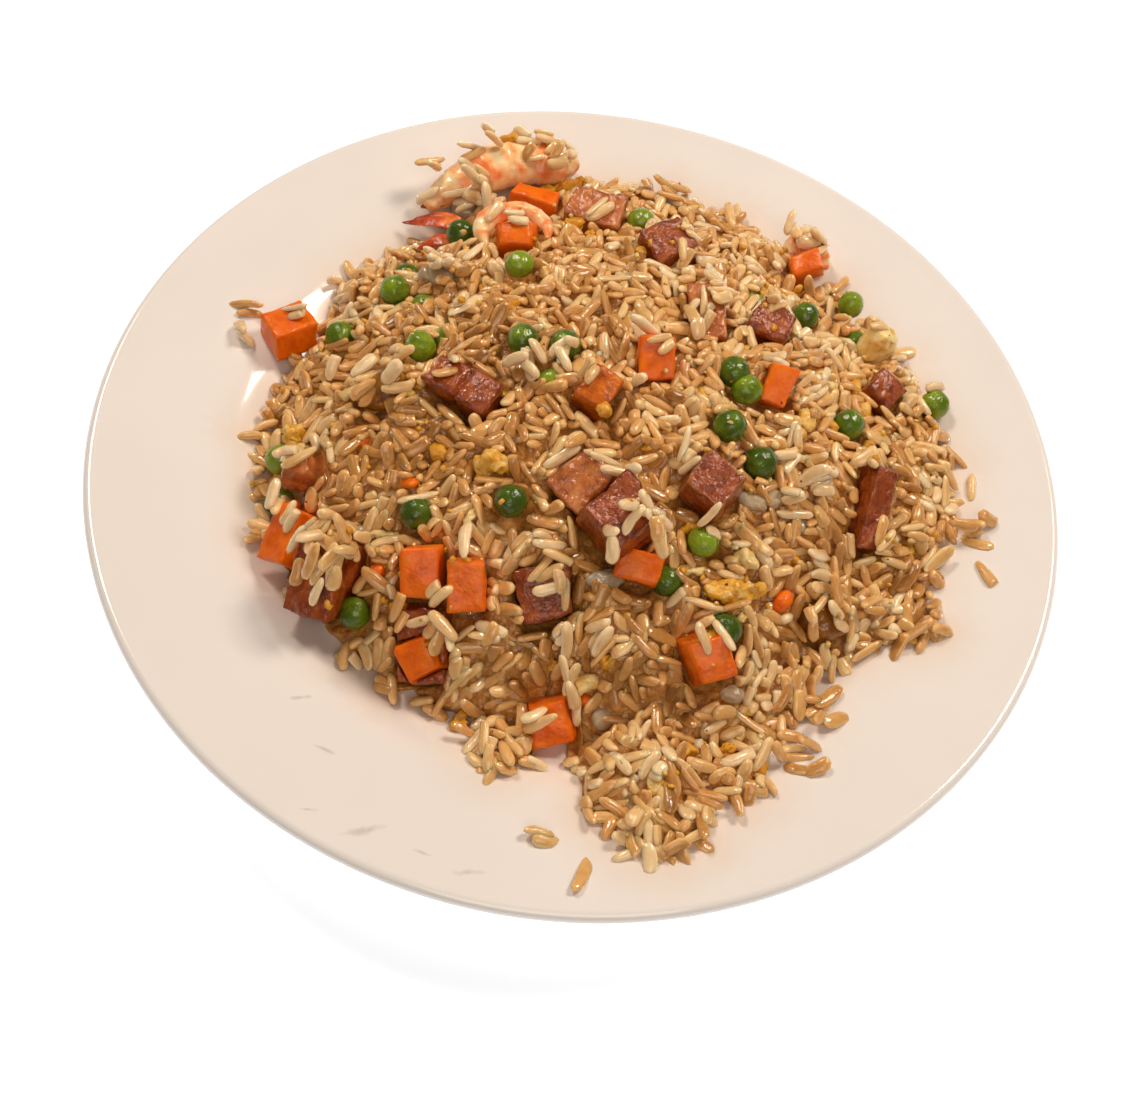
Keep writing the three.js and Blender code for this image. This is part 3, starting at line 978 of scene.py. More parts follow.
@dataclass(frozen=True)
class GrainMould:
    """How a cooked grain is shaped: plump, with rounded ends, bent and ribbed a little, and often broken."""

    sides: int = 10
    rings: int = 7
    bluntness: float = 4.2
    squareness: float = 2.4  # 2 is a round section, and more is boxy
    bend: float = 0.7  # mm, the most that the middle is off the line of the ends
    taper: float = 0.2
    rib: float = 0.07
    groove: float = 0.16
    ripple: float = 0.05
    slant: float = 0.6  # mm that one side of a blunt end is ahead of the other
    roughness: float = 0.04
    broken_share: float = 0.25
    broken_reach: float = 0.45  # where a broken grain ends, from 0 at its middle to 1

    def girth(self, along: Array) -> Array:
        """Share of the full thickness at each place from -1 to 1 along the grain."""
        return np.sqrt(np.clip(1 - np.abs(along) ** self.bluntness, 0, 1))

    def template(self) -> tuple[Array, Array]:
        """Place along and angle round of a grain's points, in the order that tube_faces takes.

        Returns:
            Place along from -1 to 1, and angle in radians, of each point.
        """
        turn = np.linspace(-1, 1, self.rings + 2)[1:-1] * np.pi / 2
        angles = np.linspace(0, 2 * np.pi, self.sides, endpoint=False)
        along = np.append(np.repeat(np.sin(turn), self.sides), [-1.0, 1.0])
        return along, np.append(np.tile(angles, self.rings), [0.0, 0.0])

    def shape(self, grains: Sequence[Grain], seed: int) -> Shape:
        """Makes all the grains at once, each a little different.

        Args:
            grains: the grains where they lie.
            seed: picks the random draws.

        Returns:
            One shape: "tone" is a grain's own shade, and "rim", 1 on its flanks and ends, is a painted
                highlight.
        """
        random = np.random.default_rng(seed)
        along, angle = self.template()
        faces = tube_faces(self.rings, self.sides)
        count = len(grains)
        length, width, thickness = np.array([grain.size for grain in grains]).T[:, :, None]
        corner = np.abs(np.cos(angle)) ** self.squareness + np.abs(np.sin(angle)) ** self.squareness
        girth = (self.girth(along) * corner ** (-1 / self.squareness))[None, :] * np.ones((count, 1))
        phases = random.uniform(0, 2 * np.pi, (6, count, 1))
        signed = random.uniform(-1, 1, (7, count, 1))
        girth = girth * (1 - self.groove * np.clip(np.cos(angle + phases[0]), 0, 1) ** 6)
        girth = girth * (1 + self.taper * signed[0] * along)
        girth = girth * (1 + self.rib * np.cos(2 * angle + phases[1] + 1.5 * signed[1] * along))
        girth = girth * (1 + self.ripple * np.sin(4.2 * along + phases[2]) * np.cos(angle + phases[3]))
        girth = girth * (1 + 0.5 * self.rib * np.cos(3 * angle + phases[4]))
        girth = girth * random.normal(1, self.roughness, (count, len(along)))
        broken = random.random((count, 1)) < self.broken_share
        cut = np.where(broken, self.broken_reach + 0.25 * signed[2], 1.0)
        reach = np.where(along > cut, cut + 0.12 * (along - cut), along * np.ones((count, 1)))
        arc = reach**2 - 0.33
        sway = signed[3] * self.bend
        lift = 0.35 * signed[4] * self.bend
        ahead = self.slant * (signed[5] * np.cos(angle) + signed[6] * np.sin(angle)) * np.abs(along) ** 3
        lengthwise = reach * length / 2 + ahead * girth
        sideways = girth * width / 2 * np.cos(angle) + sway * arc
        upwards = girth * thickness / 2 * np.sin(angle) + lift * arc
        axes = np.array([grain.axis for grain in grains])
        ups = np.array([grain.up for grain in grains])
        frames = np.stack([axes, np.cross(ups, axes), ups], axis=1)
        middles = np.array([grain.middle for grain in grains])
        local = np.stack([lengthwise, sideways, upwards], axis=-1)
        points = (middles[:, None, :] + local @ frames).reshape(-1, 3)
        size = len(along)
        every = [tuple(i + start for i in face) for start in range(0, count * size, size) for face in faces]
        tones = random.uniform(-1, 1, count)
        # Painted rim highlight: 1 on the flanks and ends, which are made paler where a clear grain catches
        # the light.
        rim = np.maximum(np.cos(angle) ** 2, along**4)
        return Shape(points, every, {"tone": np.repeat(tones, size), "rim": np.tile(rim, count)})


@dataclass
class Heap:
    """The heap of grains, laid one by one on the plate and the toppings.

    Attributes:
        ground: heights that the grains rest on.
        mould: how a grain is shaped.
        grain_size: mean length, width and thickness of a grain.
        spread: share by which a grain's size varies.
        most: grains at most.
        passes: rounds, shortfall in mm that needs no grain, and share of full length, of each pass.
        batch: places that are tried in a round.
        proud: mm that a grain's upper side may stand over the goal on average.
        lap: the most of a grain that may lie over a topping, as a share.
        sink: mm by which soft grains press into each other.
        steepest: steepest slope that a grain keeps.
        lean: how much a grain's slope strays from the slope it would lie at.
        propped: share of the grains that stray three times as much, as they lean on others.
        clump: mm across a clump of grains that lie alike.
        stray: degrees by which a grain strays from its clump's bearing.
        loose: share of the grains that lie at any bearing.
        sauced: places that took more sauce, each with its reach and how much darker its grains are.
        grains: the grains that have been laid.
    """

    ground: Ground
    mould: GrainMould = GrainMould()
    grain_size: Size = (9.1, 3.1, 2.5)
    spread: float = 0.18
    most: int = 5200
    passes: tuple[tuple[int, float, float], ...] = ((240, 0.2, 1.0), (60, 0.6, 0.75), (40, 1.0, 0.5))
    batch: int = 120
    proud: float = 1.8
    lap: float = 0.2
    sink: float = 1.4
    steepest: float = 1.2
    lean: float = 0.22
    propped: float = 0.25
    clump: float = 9.0
    stray: float = 40.0
    loose: float = 0.3
    sauced: tuple[tuple[float, float, float, float], ...] = (
        (-28, 5, 32, 0.35), (12, -60, 20, 0.3), (68, -12, 24, 0.25),
    )
    grains: list[Grain] = field(default_factory=list)

    def __post_init__(self) -> None:
        """Draws the clumps' middles, bearings and shades."""
        self.random = np.random.default_rng(SEED)
        steps = np.arange(-self.ground.half, self.ground.half, self.clump)
        xs, ys = np.meshgrid(steps, steps)
        places = np.column_stack([xs.ravel(), ys.ravel()])
        self.clump_places = places + self.random.uniform(0, self.clump, places.shape)
        self.clump_bearings = self.random.uniform(0, math.pi, len(places))
        self.clump_shades = self.random.uniform(0, 1, len(places))
        self.probe = np.linspace(-0.9, 0.9, 13)
        self.probe_across = np.array([-0.6, 0.0, 0.6])

    def drawn_size(self) -> Size:
        """Size of the next grain."""
        drawn = np.array(self.grain_size) * self.random.normal(1, self.spread, 3).clip(0.72, 1.35)
        return float(drawn[0]), float(drawn[1]), float(drawn[2])

    def rest(self, x: float, y: float, yaw: float, size: Size, cover: float) -> Grain | None:
        """Finds how a grain comes to rest on what is laid already.

        Args:
            x: place of its middle.
            y: place of its middle.
            yaw: its bearing in radians.
            size: its length, width and thickness.
            cover: the most of it that may lie over a topping, as a share.

        Returns:
            The grain, or None where it would lie too much over a topping.
        """
        length, width, thickness = size
        along = self.probe * length / 2
        girth = self.mould.girth(self.probe)
        across = self.probe_across[None, :] * girth[:, None] * width / 2
        east, north = math.cos(yaw), math.sin(yaw)
        xs = x + east * along[:, None] - north * across
        ys = y + north * along[:, None] + east * across
        cells = self.ground.cells(xs, ys)
        if self.ground.kept[cells].mean() > cover:
            return None
        under = girth[:, None] * thickness / 2 * np.sqrt(1 - self.probe_across**2)
        heights = self.ground.laid[cells]
        need = (heights + under).max(axis=1)
        back, front = along < 0, along > 0
        behind, ahead = -along[back][:, None], along[front][None, :]
        lifts = (need[back][:, None] * ahead + need[front][None, :] * behind) / (behind + ahead)
        slopes = (need[front][None, :] - need[back][:, None]) / (behind + ahead)
        best = np.unravel_index(lifts.argmax(), lifts.shape)
        stray = self.random.normal(0, self.lean) * (3.0 if self.random.random() < self.propped else 1.0)
        slope = float(np.clip(slopes[best] + stray, -self.steepest, self.steepest))
        height = float((need - slope * along).max())
        tilt = math.atan(slope)
        axis = np.array([east * math.cos(tilt), north * math.cos(tilt), math.sin(tilt)])
        lean = (heights[:, 2] - heights[:, 0]).mean() / (1.2 * width / 2)
        roll = math.atan(float(np.clip(lean, -0.7, 0.7))) + self.random.uniform(-0.3, 0.3)
        side = np.array([-north, east, 0.0])
        up = np.cross(axis, side)
        up = up * math.cos(roll) - side * math.sin(roll)
        return Grain(np.array([x, y, height - self.sink]), axis, up, size, 0.5)

    def lay(self, grain: Grain) -> None:
        """Keeps a grain and raises the ground to its upper side.

        Args:
            grain: the grain where it lies.
        """
        length, width, thickness = grain.size
        x, y, z = grain.middle
        reach = length / 2
        cells, xs, ys = self.ground.window((x - reach, y - reach), (x + reach, y + reach))
        flat = math.hypot(grain.axis[0], grain.axis[1])
        east, north = grain.axis[0] / flat, grain.axis[1] / flat
        along = ((xs - x) * east + (ys - y) * north) / (reach * flat)
        across = ((ys - y) * east - (xs - x) * north) / (width / 2)
        inside = 1 - np.abs(along) ** self.mould.bluntness - across**2
        tops = z + grain.axis[2] * along * reach + thickness / 2 * np.sqrt(np.clip(inside, 0, 1))
        laid = self.ground.laid[cells]
        self.ground.laid[cells] = np.where(inside > 0, np.maximum(laid, tops), laid)
        self.grains.append(grain)

    def fill(self) -> None:
        """Lays grains where the heap is lowest under its goal, and then short ones in the holes left."""
        for rounds, enough, share in self.passes:
            for _ in range(rounds):
                missing = self.ground.shortfall()
                weight = np.where(missing > enough, missing, 0.0).ravel()
                total = weight.sum()
                if total <= 0 or len(self.grains) >= self.most:
                    break
                chosen = self.random.choice(weight.size, self.batch, p=weight / total)
                rows, cols = np.unravel_index(chosen, missing.shape)
                for x, y in zip(*self.ground.places(rows, cols)):
                    self.try_grain(float(x), float(y), enough, share)
            log.info("grains of %.0f%% length: %d in all", 100 * share, len(self.grains))

    def try_grain(self, x: float, y: float, enough: float, share: float) -> None:
        """Lays a grain at a place if the heap still needs one there.

        Args:
            x: place of its middle.
            y: place of its middle.
            enough: shortfall in mm that needs no grain.
            share: share of the full length that it has.
        """
        cell = self.ground.cells(x, y)
        if self.ground.goal[cell] - self.ground.laid[cell] < enough:
            return
        length, width, thickness = self.drawn_size()
        length *= share
        clump = int(np.argmin(((self.clump_places - (x, y)) ** 2).sum(axis=1)))
        yaw = self.clump_bearings[clump] + math.radians(self.random.normal(0, self.stray))
        if self.random.random() < self.loose:
            yaw = self.random.uniform(0, math.pi)
        grain = self.rest(x, y, yaw, (length, width, thickness), self.lap)
        if grain is None:
            return
        spots = np.linspace(-0.45, 0.45, 5)[:, None] * grain.axis * length + grain.middle
        goals = self.ground.goal[self.ground.cells(spots[:, 0], spots[:, 1])]
        on_heap = goals > NOWHERE
        if on_heap.sum() < 3 or (spots[on_heap, 2] + thickness / 2 - goals[on_heap]).mean() > self.proud:
            return
        shade = 0.55 * self.clump_shades[clump] + 0.45 * self.random.random()
        grain.shade = float(np.clip(shade - self.sauce(x, y), -1, 1))
        self.lay(grain)

    def sauce(self, x: float, y: float) -> float:
        """How much darker the grains at a place are for the sauce they took.

        Args:
            x: place on the heap.
            y: place on the heap.

        Returns:
            What the sauce takes off a grain's shade.
        """
        total = 0.0
        for middle_x, middle_y, reach, most in self.sauced:
            away = math.hypot(x - middle_x, y - middle_y)
            total += most * math.exp(-(away**2) / (2 * reach**2))
        return total

    def drop(self, x: float, y: float, yaw: float, shade: float, count: int, spread: float = 2.6) -> None:
        """Drops a few grains that stick together at a place, on whatever lies there.

        Args:
            x: place of the first one.
            y: place of the first one.
            yaw: bearing in degrees.
            shade: from 0, darkest, to 1, palest.
            count: how many grains.
            spread: mm between grains that stick together.
        """
        for k in range(count):
            turn = math.radians(yaw) + (self.random.normal(0, 0.5) if k else 0.0)
            away = spread * math.sqrt(k)
            bearing = 2.4 * k
            east, north = away * math.cos(bearing), away * math.sin(bearing)
            grain = self.rest(x + east, y + north, turn, self.drawn_size(), cover=1.0)
            grain.shade = float(np.clip(shade + self.random.normal(0, 0.08), 0, 1))
            self.lay(grain)

    def build(self) -> None:
        """Makes one piece for each kind of grain, which together replace the rice's node."""
        shades = np.array([grain.shade for grain in self.grains])
        ranks = shades.argsort().argsort() / len(shades)
        lower = 0.0
        for number, (upper, kind) in enumerate(KIND_LIMITS):
            chosen = [grain for grain, rank in zip(self.grains, ranks) if lower <= rank < upper]
            lower = upper
            shape = self.mould.shape(chosen, SEED + number)
            make_object(f"rice_grains_{kind.value}", shape, GRAIN_FINISHES[kind], ["rice"])
            log.info("%s grains: %d", kind.value, len(chosen))


@dataclass
class Core:
    """Packed rice and sauce under and between the laid grains."""

    plate: Plate
    ground: Ground
    below: float = 1.9  # mm under the grains' mean upper side
    blur: float = 1.3  # mm
    spokes: int = 320
    rings: int = 74
    under_rings: int = 8
    middle: tuple[float, float] = (6.0, 6.0)
    widest: float = 134.0
    margin: float = 2.5  # mm that it ends inside the heap's edge
    gap: float = 0.05  # mm between it and the glaze
    finish: MoistFood = MoistFood(
        "rice_packed", "cooked_rice", dark="#A4642A", mid="#C8883C", light="#E0AA60", sink=0.4, patch=2.0,
        roughness=0.3, coat=0.6, coat_roughness=0.08, bump=1.2, bump_size=2.4,
    )

    def heights(self) -> Array:
        """Height of the core in each cell: the laid grains' upper sides, smoothed, less a gap.

        Returns:
            A height for each cell of the ground.
        """
        goal = self.ground.goal
        under = np.where(goal > NOWHERE, np.minimum(self.ground.laid, goal - 1.0), self.ground.bare)
        tops = np.where(self.ground.kept, under, self.ground.laid)
        reach = int(round(2.5 * self.blur / self.ground.pitch))
        weights = np.exp(-0.5 * (np.arange(-reach, reach + 1) * self.ground.pitch / self.blur) ** 2)
        weights /= weights.sum()
        for axis in (0, 1):
            tops = sum(w * np.roll(tops, k, axis=axis) for w, k in zip(weights, range(-reach, reach + 1)))
        return tops - self.below

    def reaches(self, angles: Array) -> Array:
        """How far the heap goes out along each bearing.

        Args:
            angles: the bearings in radians.

        Returns:
            A distance from the core's middle for each bearing.
        """
        radii = np.arange(30.0, self.widest, 0.75)
        xs = self.middle[0] + radii[:, None] * np.cos(angles)
        ys = self.middle[1] + radii[:, None] * np.sin(angles)
        found = self.ground.goal[self.ground.cells(xs, ys)] > NOWHERE
        last = len(radii) - 1 - found[::-1].argmax(axis=0)
        return radii[last] - self.margin

    def shape(self) -> Shape:
        """A sheet out to the heap's edge, and its mirror face just above the glaze, closed along the edge.

        Returns:
            The closed shape.
        """
        angles = np.linspace(0, 2 * np.pi, self.spokes, endpoint=False)
        reaches = self.reaches(angles)
        tops = self.heights()
        sheets = []
        for rings in (self.rings, self.under_rings):
            radii = reaches * np.linspace(0, 1, rings + 1)[1:, None]
            xs = self.middle[0] + radii * np.cos(angles)
            ys = self.middle[1] + radii * np.sin(angles)
            zs = self.plate.top(np.hypot(xs, ys)) + self.gap
            if rings == self.rings:
                zs = np.maximum(tops[self.ground.cells(xs, ys)], zs + 0.1)
            sheets.append(np.stack([xs, ys, zs], axis=-1).reshape(-1, 3))
        crest = [*self.middle, tops[self.ground.cells(*self.middle)]]
        foot = [*self.middle, self.plate.well_top + self.gap]
        return Shape(np.vstack([*sheets, crest, foot]), self.faces())

    def faces(self) -> list[Sequence[int]]:
        """Faces of the upper sheet, of the lower sheet, and of the edge between them.

        Returns:
            Point numbers of each face, in the order of the points that shape makes.
        """
        lower = self.rings * self.spokes
        crest = lower + self.under_rings * self.spokes
        top, under = lower - self.spokes, crest - self.spokes
        faces: list[Sequence[int]] = []
        for k in range(self.spokes):
            after = (k + 1) % self.spokes
            faces.append((crest, k, after))
            faces.append((crest + 1, lower + after, lower + k))
            for near in range(0, top, self.spokes):
                far = near + self.spokes
                faces.append((near + k, far + k, far + after, near + after))
            for near in range(lower, under, self.spokes):
                far = near + self.spokes
                faces.append((near + k, near + after, far + after, far + k))
            faces.append((top + k, under + k, under + after, top + after))
        return faces


# ------------------------------------------------------------------ toppings


@dataclass
class CutPieces:
    """Pieces with flat cut faces and worn corners, such as dice of carrot or ham.

    Attributes:
        kind: name of the nodes, without their number.
        finishes: finish for each node, by its number, with 0 for all others.
        grid: size of the faces in mm.
        passes: how much the corners are worn.
        relief: sizes and depths of the unevenness of the faces.
        crust: mm by which outer edges are ragged.
        cleft: nodes that are cut nearly through across the middle.
        cleft_size: width and depth of that cut.
    """

    kind: str
    finishes: dict[int, Finish]
    grid: float = 0.6
    passes: int = 3
    relief: tuple[tuple[float, float], ...] = ((5.0, 0.25), (1.6, 0.1))
    crust: float = 0.0
    cleft: tuple[str, ...] = ()
    cleft_size: tuple[float, float] = (0.8, 1.5)

    def cleft_depth(self, points: Array) -> Array:
        """Depth of a cut across the middle of the longest way.

        Args:
            points: n by 3 places on the piece.

        Returns:
            How far in each point moves, below 0.
        """
        wide, deep = self.cleft_size
        away = points - points.mean(axis=0)
        longest = np.linalg.eigh(away.T @ away)[1][:, -1]
        return -deep * np.exp(-(((away @ longest) / wide) ** 2))

    def shape(self, node: str, seed: int) -> Shape:
        """The fine shape of one node.

        Args:
            node: the node's name.
            seed: picks its unevenness.

        Returns:
            The shape in millimetres.
        """
        shape = softened(cad_shape(node), self.grid, self.passes)
        if node in self.cleft:
            shape.swell(self.cleft_depth(shape.points))
        uneven = rounded_noise(shape.points, self.relief, seed)
        ragged = self.crust * np.maximum(shape.values["edge"], 0) * smooth_noise(shape.points, 1.3, seed + 9)
        shape.swell(uneven + ragged)
        return shape

    def build(self) -> list[Shape]:
        """Makes a piece for each node.

        Returns:
            The shape of each piece.
        """
        shapes = []
        for number, node in enumerate(nodes_of(self.kind), start=1):
            shape = self.shape(node, SEED + 31 * number)
            shapes.append(shape)
            finish = self.finishes.get(number, self.finishes[0])
            make_object(f"{node}_cut", shape, finish, [node])
        log.info("%s: %d pieces", self.kind, len(shapes))
        return shapes


@dataclass
class Peas:
    """Green peas: near-round, with shallow dents and a taut shiny skin."""

    ground: Ground
    detail: int = 3
    radius: float = 4.5
    dents: tuple[tuple[float, float], ...] = ((4.5, 0.35), (2.0, 0.08))
    sunken: tuple[tuple[float, float, float], ...] = (
        (-62, 53, 3.4), (-11, 3, 3.6), (-82, -29, 3.0), (45, 55, 3.2), (28, -48, 2.6), (-43, 20, 3.8),
        (-53, 36, 3.6), (79, 56, 2.8), (-31, -53, 4.0),
    )  # x, y and depth of the middle under the heap's surface
    finish: MoistFood = MoistFood(
        "pea_skin", "pea", dark="#3C5204", mid="#587208", light="#82961A", patch=5.0, tone_reach=0.3,
        roughness=0.25, coat=0.4, coat_roughness=0.06, sink=0.15, depth=1.5, glow=(0.8, 1.0, 0.1), bump=0.5,
        bump_size=2.2,
    )

    def shape(self, middle: Array, radius: float, seed: int) -> Shape:
        """One pea.

        Args:
            middle: its middle.
            radius: its radius.
            seed: picks its dents and its tone.

        Returns:
            The pea, whose own shade of green is its value "tone".
        """
        ball = ball_shape(self.detail)
        shape = Shape(middle + ball.points * radius, ball.faces)
        shape.swell(rounded_noise(shape.points, self.dents, seed) - 0.05)
        tone = np.random.default_rng(seed).uniform(-1, 1)
        shape.values["tone"] = np.full(len(ball.points), tone)
        return shape

    def build(self) -> list[Shape]:
        """Makes a pea for each node.

        Returns:
            The shape of each pea.
        """
        shapes = []
        for number, node in enumerate(nodes_of("pea"), start=1):
            middle, radius = fitted_ball(cad_shape(node).points)
            shapes.append(self.shape(middle, radius, SEED + number))
            make_object(f"{node}_round", shapes[-1], self.finish, [node])
        log.info("pea: %d pieces", len(shapes))
        return shapes

    def build_sunken(self) -> list[Shape]:
        """Makes the peas that the rice nearly hides, as one piece.

        Returns:
            The shape of each pea.
        """
        shapes = []
        for number, (x, y, depth) in enumerate(self.sunken):
            goal = float(self.ground.goal[self.ground.cells(x, y)])
            shapes.append(self.shape(np.array([x, y, goal - depth]), self.radius, SEED + 60 + number))
        make_object("peas_sunken", Shape.joined(shapes), self.finish)
        log.info("sunken peas: %d", len(shapes))
        return shapes


@dataclass(frozen=True)
class Lump:
    """A small soft lump on or in the heap.

    Attributes:
        x: place of its middle.
        y: place of its middle.
        size: its extents.
        bearing: degrees that its first extent is turned from +X.
        lift: share of its height that is over what it lies on.
        tone: from -1, the finish's darkest, to 1, its lightest.
    """

    x: float
    y: float
    size: Size
    bearing: float = 0.0
    lift: float = 0.4
    tone: float = 0.0


@dataclass
class Lumps:
    """Small soft lumps of one food, joined as one piece."""

    name: str
    finish: Finish
    ground: Ground
    lumps: tuple[Lump, ...]
    uneven: float = 0.35
    detail: int = 3

    def build(self) -> list[Shape]:
        """Makes the piece.

        Returns:
            The shape of each lump.
        """
        shapes = []
        for number, lump in enumerate(self.lumps):
            shape = lump_shape(lump.size, self.detail, self.uneven, SEED + 7 * number)
            cell = self.ground.cells(lump.x, lump.y)
            base = float(max(self.ground.goal[cell], self.ground.laid[cell]))
            height = base + (lump.lift - 0.5) * lump.size[2]
            turn = Matrix.Rotation(math.radians(lump.bearing), 4, "Z")
            shape = shape.moved(Matrix.Translation((lump.x, lump.y, height)) @ turn)
            shape.values["tone"] = np.full(len(shape.points), lump.tone)
            shapes.append(shape)
        make_object(self.name, Shape.joined(shapes), self.finish)
        log.info("%s: %d lumps", self.name, len(shapes))
        return shapes


@dataclass
class Shrimps:
    """Peeled shrimp with ringed bodies, and the tail fins of the whole one.

    Attributes:
        bodies: for each body its node or None, and x, y, z, half width and half height at places along it.
        fins: for each fin its root, its tip, its half width, and its rise in the middle.
        rings: how many rings a body has.
        ring_depth: how much thicker a ring is at its end, as a share.
        detail: rings of points along a body, and points round it.
        fin_detail: the same for a fin.
        meat: finish of the bodies.
        tail: finish of the fins.
    """

    bodies: tuple[tuple[str | None, tuple[tuple[float, ...], ...]], ...] = (
        (
            "shrimp_01",
            (
                (-18, 110, 24, 2.5, 2.0), (-20, 111, 24, 5.5, 5.0), (-27, 110, 25, 7.4, 6.2),
                (-35, 108, 25.5, 8.2, 6.6), (-43, 104, 25.5, 8.0, 6.4), (-50, 99, 24.8, 6.8, 5.6),
                (-56, 93, 23.6, 4.8, 4.2), (-60, 88, 22.2, 3.6, 3.0), (-62, 85.5, 21.6, 2.6, 2.0),
            ),
        ),
        (
            "shrimp_02",
            (
                (56, 87, 19, 1.2, 1.2), (56, 89, 21, 2.8, 2.8), (58, 93, 23.5, 3.6, 3.4),
                (62, 94, 24.4, 3.8, 3.6), (66, 91, 22.6, 3.2, 3.0), (68, 88, 20.2, 1.6, 1.6),
            ),
        ),
        (
            None,
            (
                (-38.5, 60, 35.5, 1.0, 1.0), (-41, 65, 36.4, 2.6, 2.2), (-39, 71, 37, 3.2, 2.6),
                (-32, 75.5, 37.6, 2.8, 2.4), (-26, 74, 38, 2.6, 2.4), (-21.5, 70, 38, 2.4, 2.0),
                (-20.5, 65, 37.4, 1.0, 1.0),
            ),
        ),
    )
    fins: tuple[tuple[Vec3, Vec3, float, float], ...] = (
        ((-53, 91.5, 23.6), (-64, 87, 19.8), 3.6, 1.3),
        ((-46, 77.5, 24.6), (-68.5, 79, 19.8), 2.3, 1.4),
        ((-50, 81, 23.4), (-65.5, 81.5, 19.8), 2.0, 0.8),
        ((-50, 72.5, 23.4), (-62, 68.6, 19.6), 2.3, 1.7),
    )
    rings: int = 7
    ring_depth: float = 0.09
    detail: tuple[int, int] = (72, 30)
    fin_detail: tuple[int, int] = (22, 14)
    meat: MoistFood = MoistFood(
        "shrimp_meat", "shrimp", dark="#FFDFAE", mid="#FFC285", light="#F28442", patch=5.0, tone_reach=0.3,
        roughness=0.26, coat=0.4, coat_roughness=0.08, sink=0.4, depth=2.0, glow=(1.0, 0.6, 0.4), bump=0.25,
        bump_size=1.6,
    )
    tail: MoistFood = MoistFood(
        "shrimp_tail", "shrimp", dark="#9A2C0C", mid="#C64E1A", light="#EC8640", patch=4.0, tone_reach=0.3,
        roughness=0.25, coat=0.5, coat_roughness=0.08, sink=0.3, depth=0.8, bump=0.2, bump_size=0.8,
    )

    def body(self, stations: Sequence[Sequence[float]], seed: int) -> Shape:
        """A ringed body whose back is banded with orange.

        Args:
            stations: x, y, z, half width and half height at places along it.
            seed: picks its unevenness.

        Returns:
            The body, where "tone" is high on the orange bands.
        """
        steps, sides = self.detail
        fine = curve_through(np.array(stations, float), steps)
        rings = (np.linspace(0, self.rings, len(fine)) % 1.0) ** 1.5
        swell = 1 + self.ring_depth * (rings - 0.4)
        shape = swept_shape(fine[:, :3], np.abs(fine[:, 3]) * swell, np.abs(fine[:, 4]) * swell, sides)
        shape.swell(rounded_noise(shape.points, [(6.0, 0.6), (2.0, 0.2)], seed))
        along, back = shape.values.pop("along"), shape.values.pop("back")
        band = np.exp(-((((along * self.rings) % 1.0) - 0.85) ** 2) / 0.05)
        flush = rounded_noise(shape.points, [(7.0, 0.9), (2.5, 0.5)], seed + 5)
        shape.values["tone"] = np.clip(0.8 * band * np.clip(back + 0.5, 0, 1) - 0.3 + flush, -1, 1)
        return shape

    def fin(self, root: Vec3, tip: Vec3, half_width: float, rise: float) -> Shape:
        """A flat pointed fin, ribbed along its middle.

        Args:
            root: where it leaves the body.
            tip: its pointed end.
            half_width: half its width in the middle.
            rise: how far its middle is over the line from root to tip.

        Returns:
            The fin, where "tone" falls towards its tip.
        """
        steps, sides = self.fin_detail
        start, end = np.array(root, float), np.array(tip, float)
        middle = (start + end) / 2 + (0, 0, rise)
        line = curve_through(np.array([start, middle, end]), steps)
        share = np.linspace(0, 1, len(line))
        widths = half_width * np.sin(np.pi * share**0.75) ** 0.7 + 0.25
        shape = swept_shape(line, widths, 0.45 * (1 - 0.6 * share) + 0.1, sides)
        shape.swell(rounded_noise(shape.points, [(4.0, 0.5), (1.6, 0.2)], SEED))
        along = shape.values.pop("along")
        del shape.values["back"]
        shape.values["tone"] = 0.8 - 1.6 * along
        return shape

    def build(self) -> list[Shape]:
        """Makes the bodies and the fins.

        Returns:
            The shape of each body and each fin.
        """
        shapes = []
        for number, (node, stations) in enumerate(self.bodies):
            shape = self.body(stations, SEED + number)
            shapes.append(shape)
            make_object(f"{node or 'shrimp_half'}_body", shape, self.meat, [node] if node else [])
        fins = [self.fin(*fin) for fin in self.fins]
        make_object("shrimp_01_fins", Shape.joined(fins), self.tail, ["shrimp_01"])
        log.info("shrimp: %d bodies, %d fins", len(shapes), len(fins))
        return shapes + fins


@dataclass
class Crumbs:
    """Fine crumbs of egg, crust and broken grain, scattered over the heap and a little beyond it."""

    ground: Ground
    count: int
    name: str
    finish: Finish
    sizes: tuple[float, float] = (0.7, 1.9)
    seed: int = 0

    def build(self) -> None:
        """Makes one piece of all the crumbs."""
        random = np.random.default_rng(SEED + self.seed)
        rows, cols = np.nonzero(self.ground.goal > NOWHERE)
        shapes = []
        for pick in random.choice(len(rows), self.count, replace=False):
            x, y = self.ground.places(rows[pick], cols[pick])
            x, y = float(x + random.normal(0, 2)), float(y + random.normal(0, 2))
            size = random.uniform(*self.sizes) * random.uniform(0.6, 1.2, 3)
            shape = lump_shape(tuple(size), 1, 0.3, int(random.integers(1000)))
            height = float(self.ground.laid[self.ground.cells(x, y)]) + 0.1 * size[2]
            shape = shape.moved(Matrix.Translation((x, y, height)))
            shape.values["tone"] = np.full(len(shape.points), random.uniform(-1, 1))
            shapes.append(shape)
        make_object(self.name, Shape.joined(shapes), self.finish)
        log.info("%s: %d crumbs", self.name, self.count)


# ------------------------------------------------------------------ studio


@dataclass(frozen=True)
class SoftLight:
    """A large square lamp."""

    name: str
    place: Vec3
    size: float
    watts: float
    colour: str = "#FFFFFF"

    def build(self) -> None:
        """Makes the lamp, aimed at the middle of the plate."""
        lamp = bpy.data.lights.new(self.name, "AREA")
        lamp.size = self.size
        lamp.energy = self.watts
        lamp.color = linear(self.colour)[:3]
        made = bpy.data.objects.new(self.name, lamp)
        made.location = self.place
        made.rotation_euler = (-Vector(self.place)).to_track_quat("-Z", "Y").to_euler()
        bpy.context.scene.collection.objects.link(made)


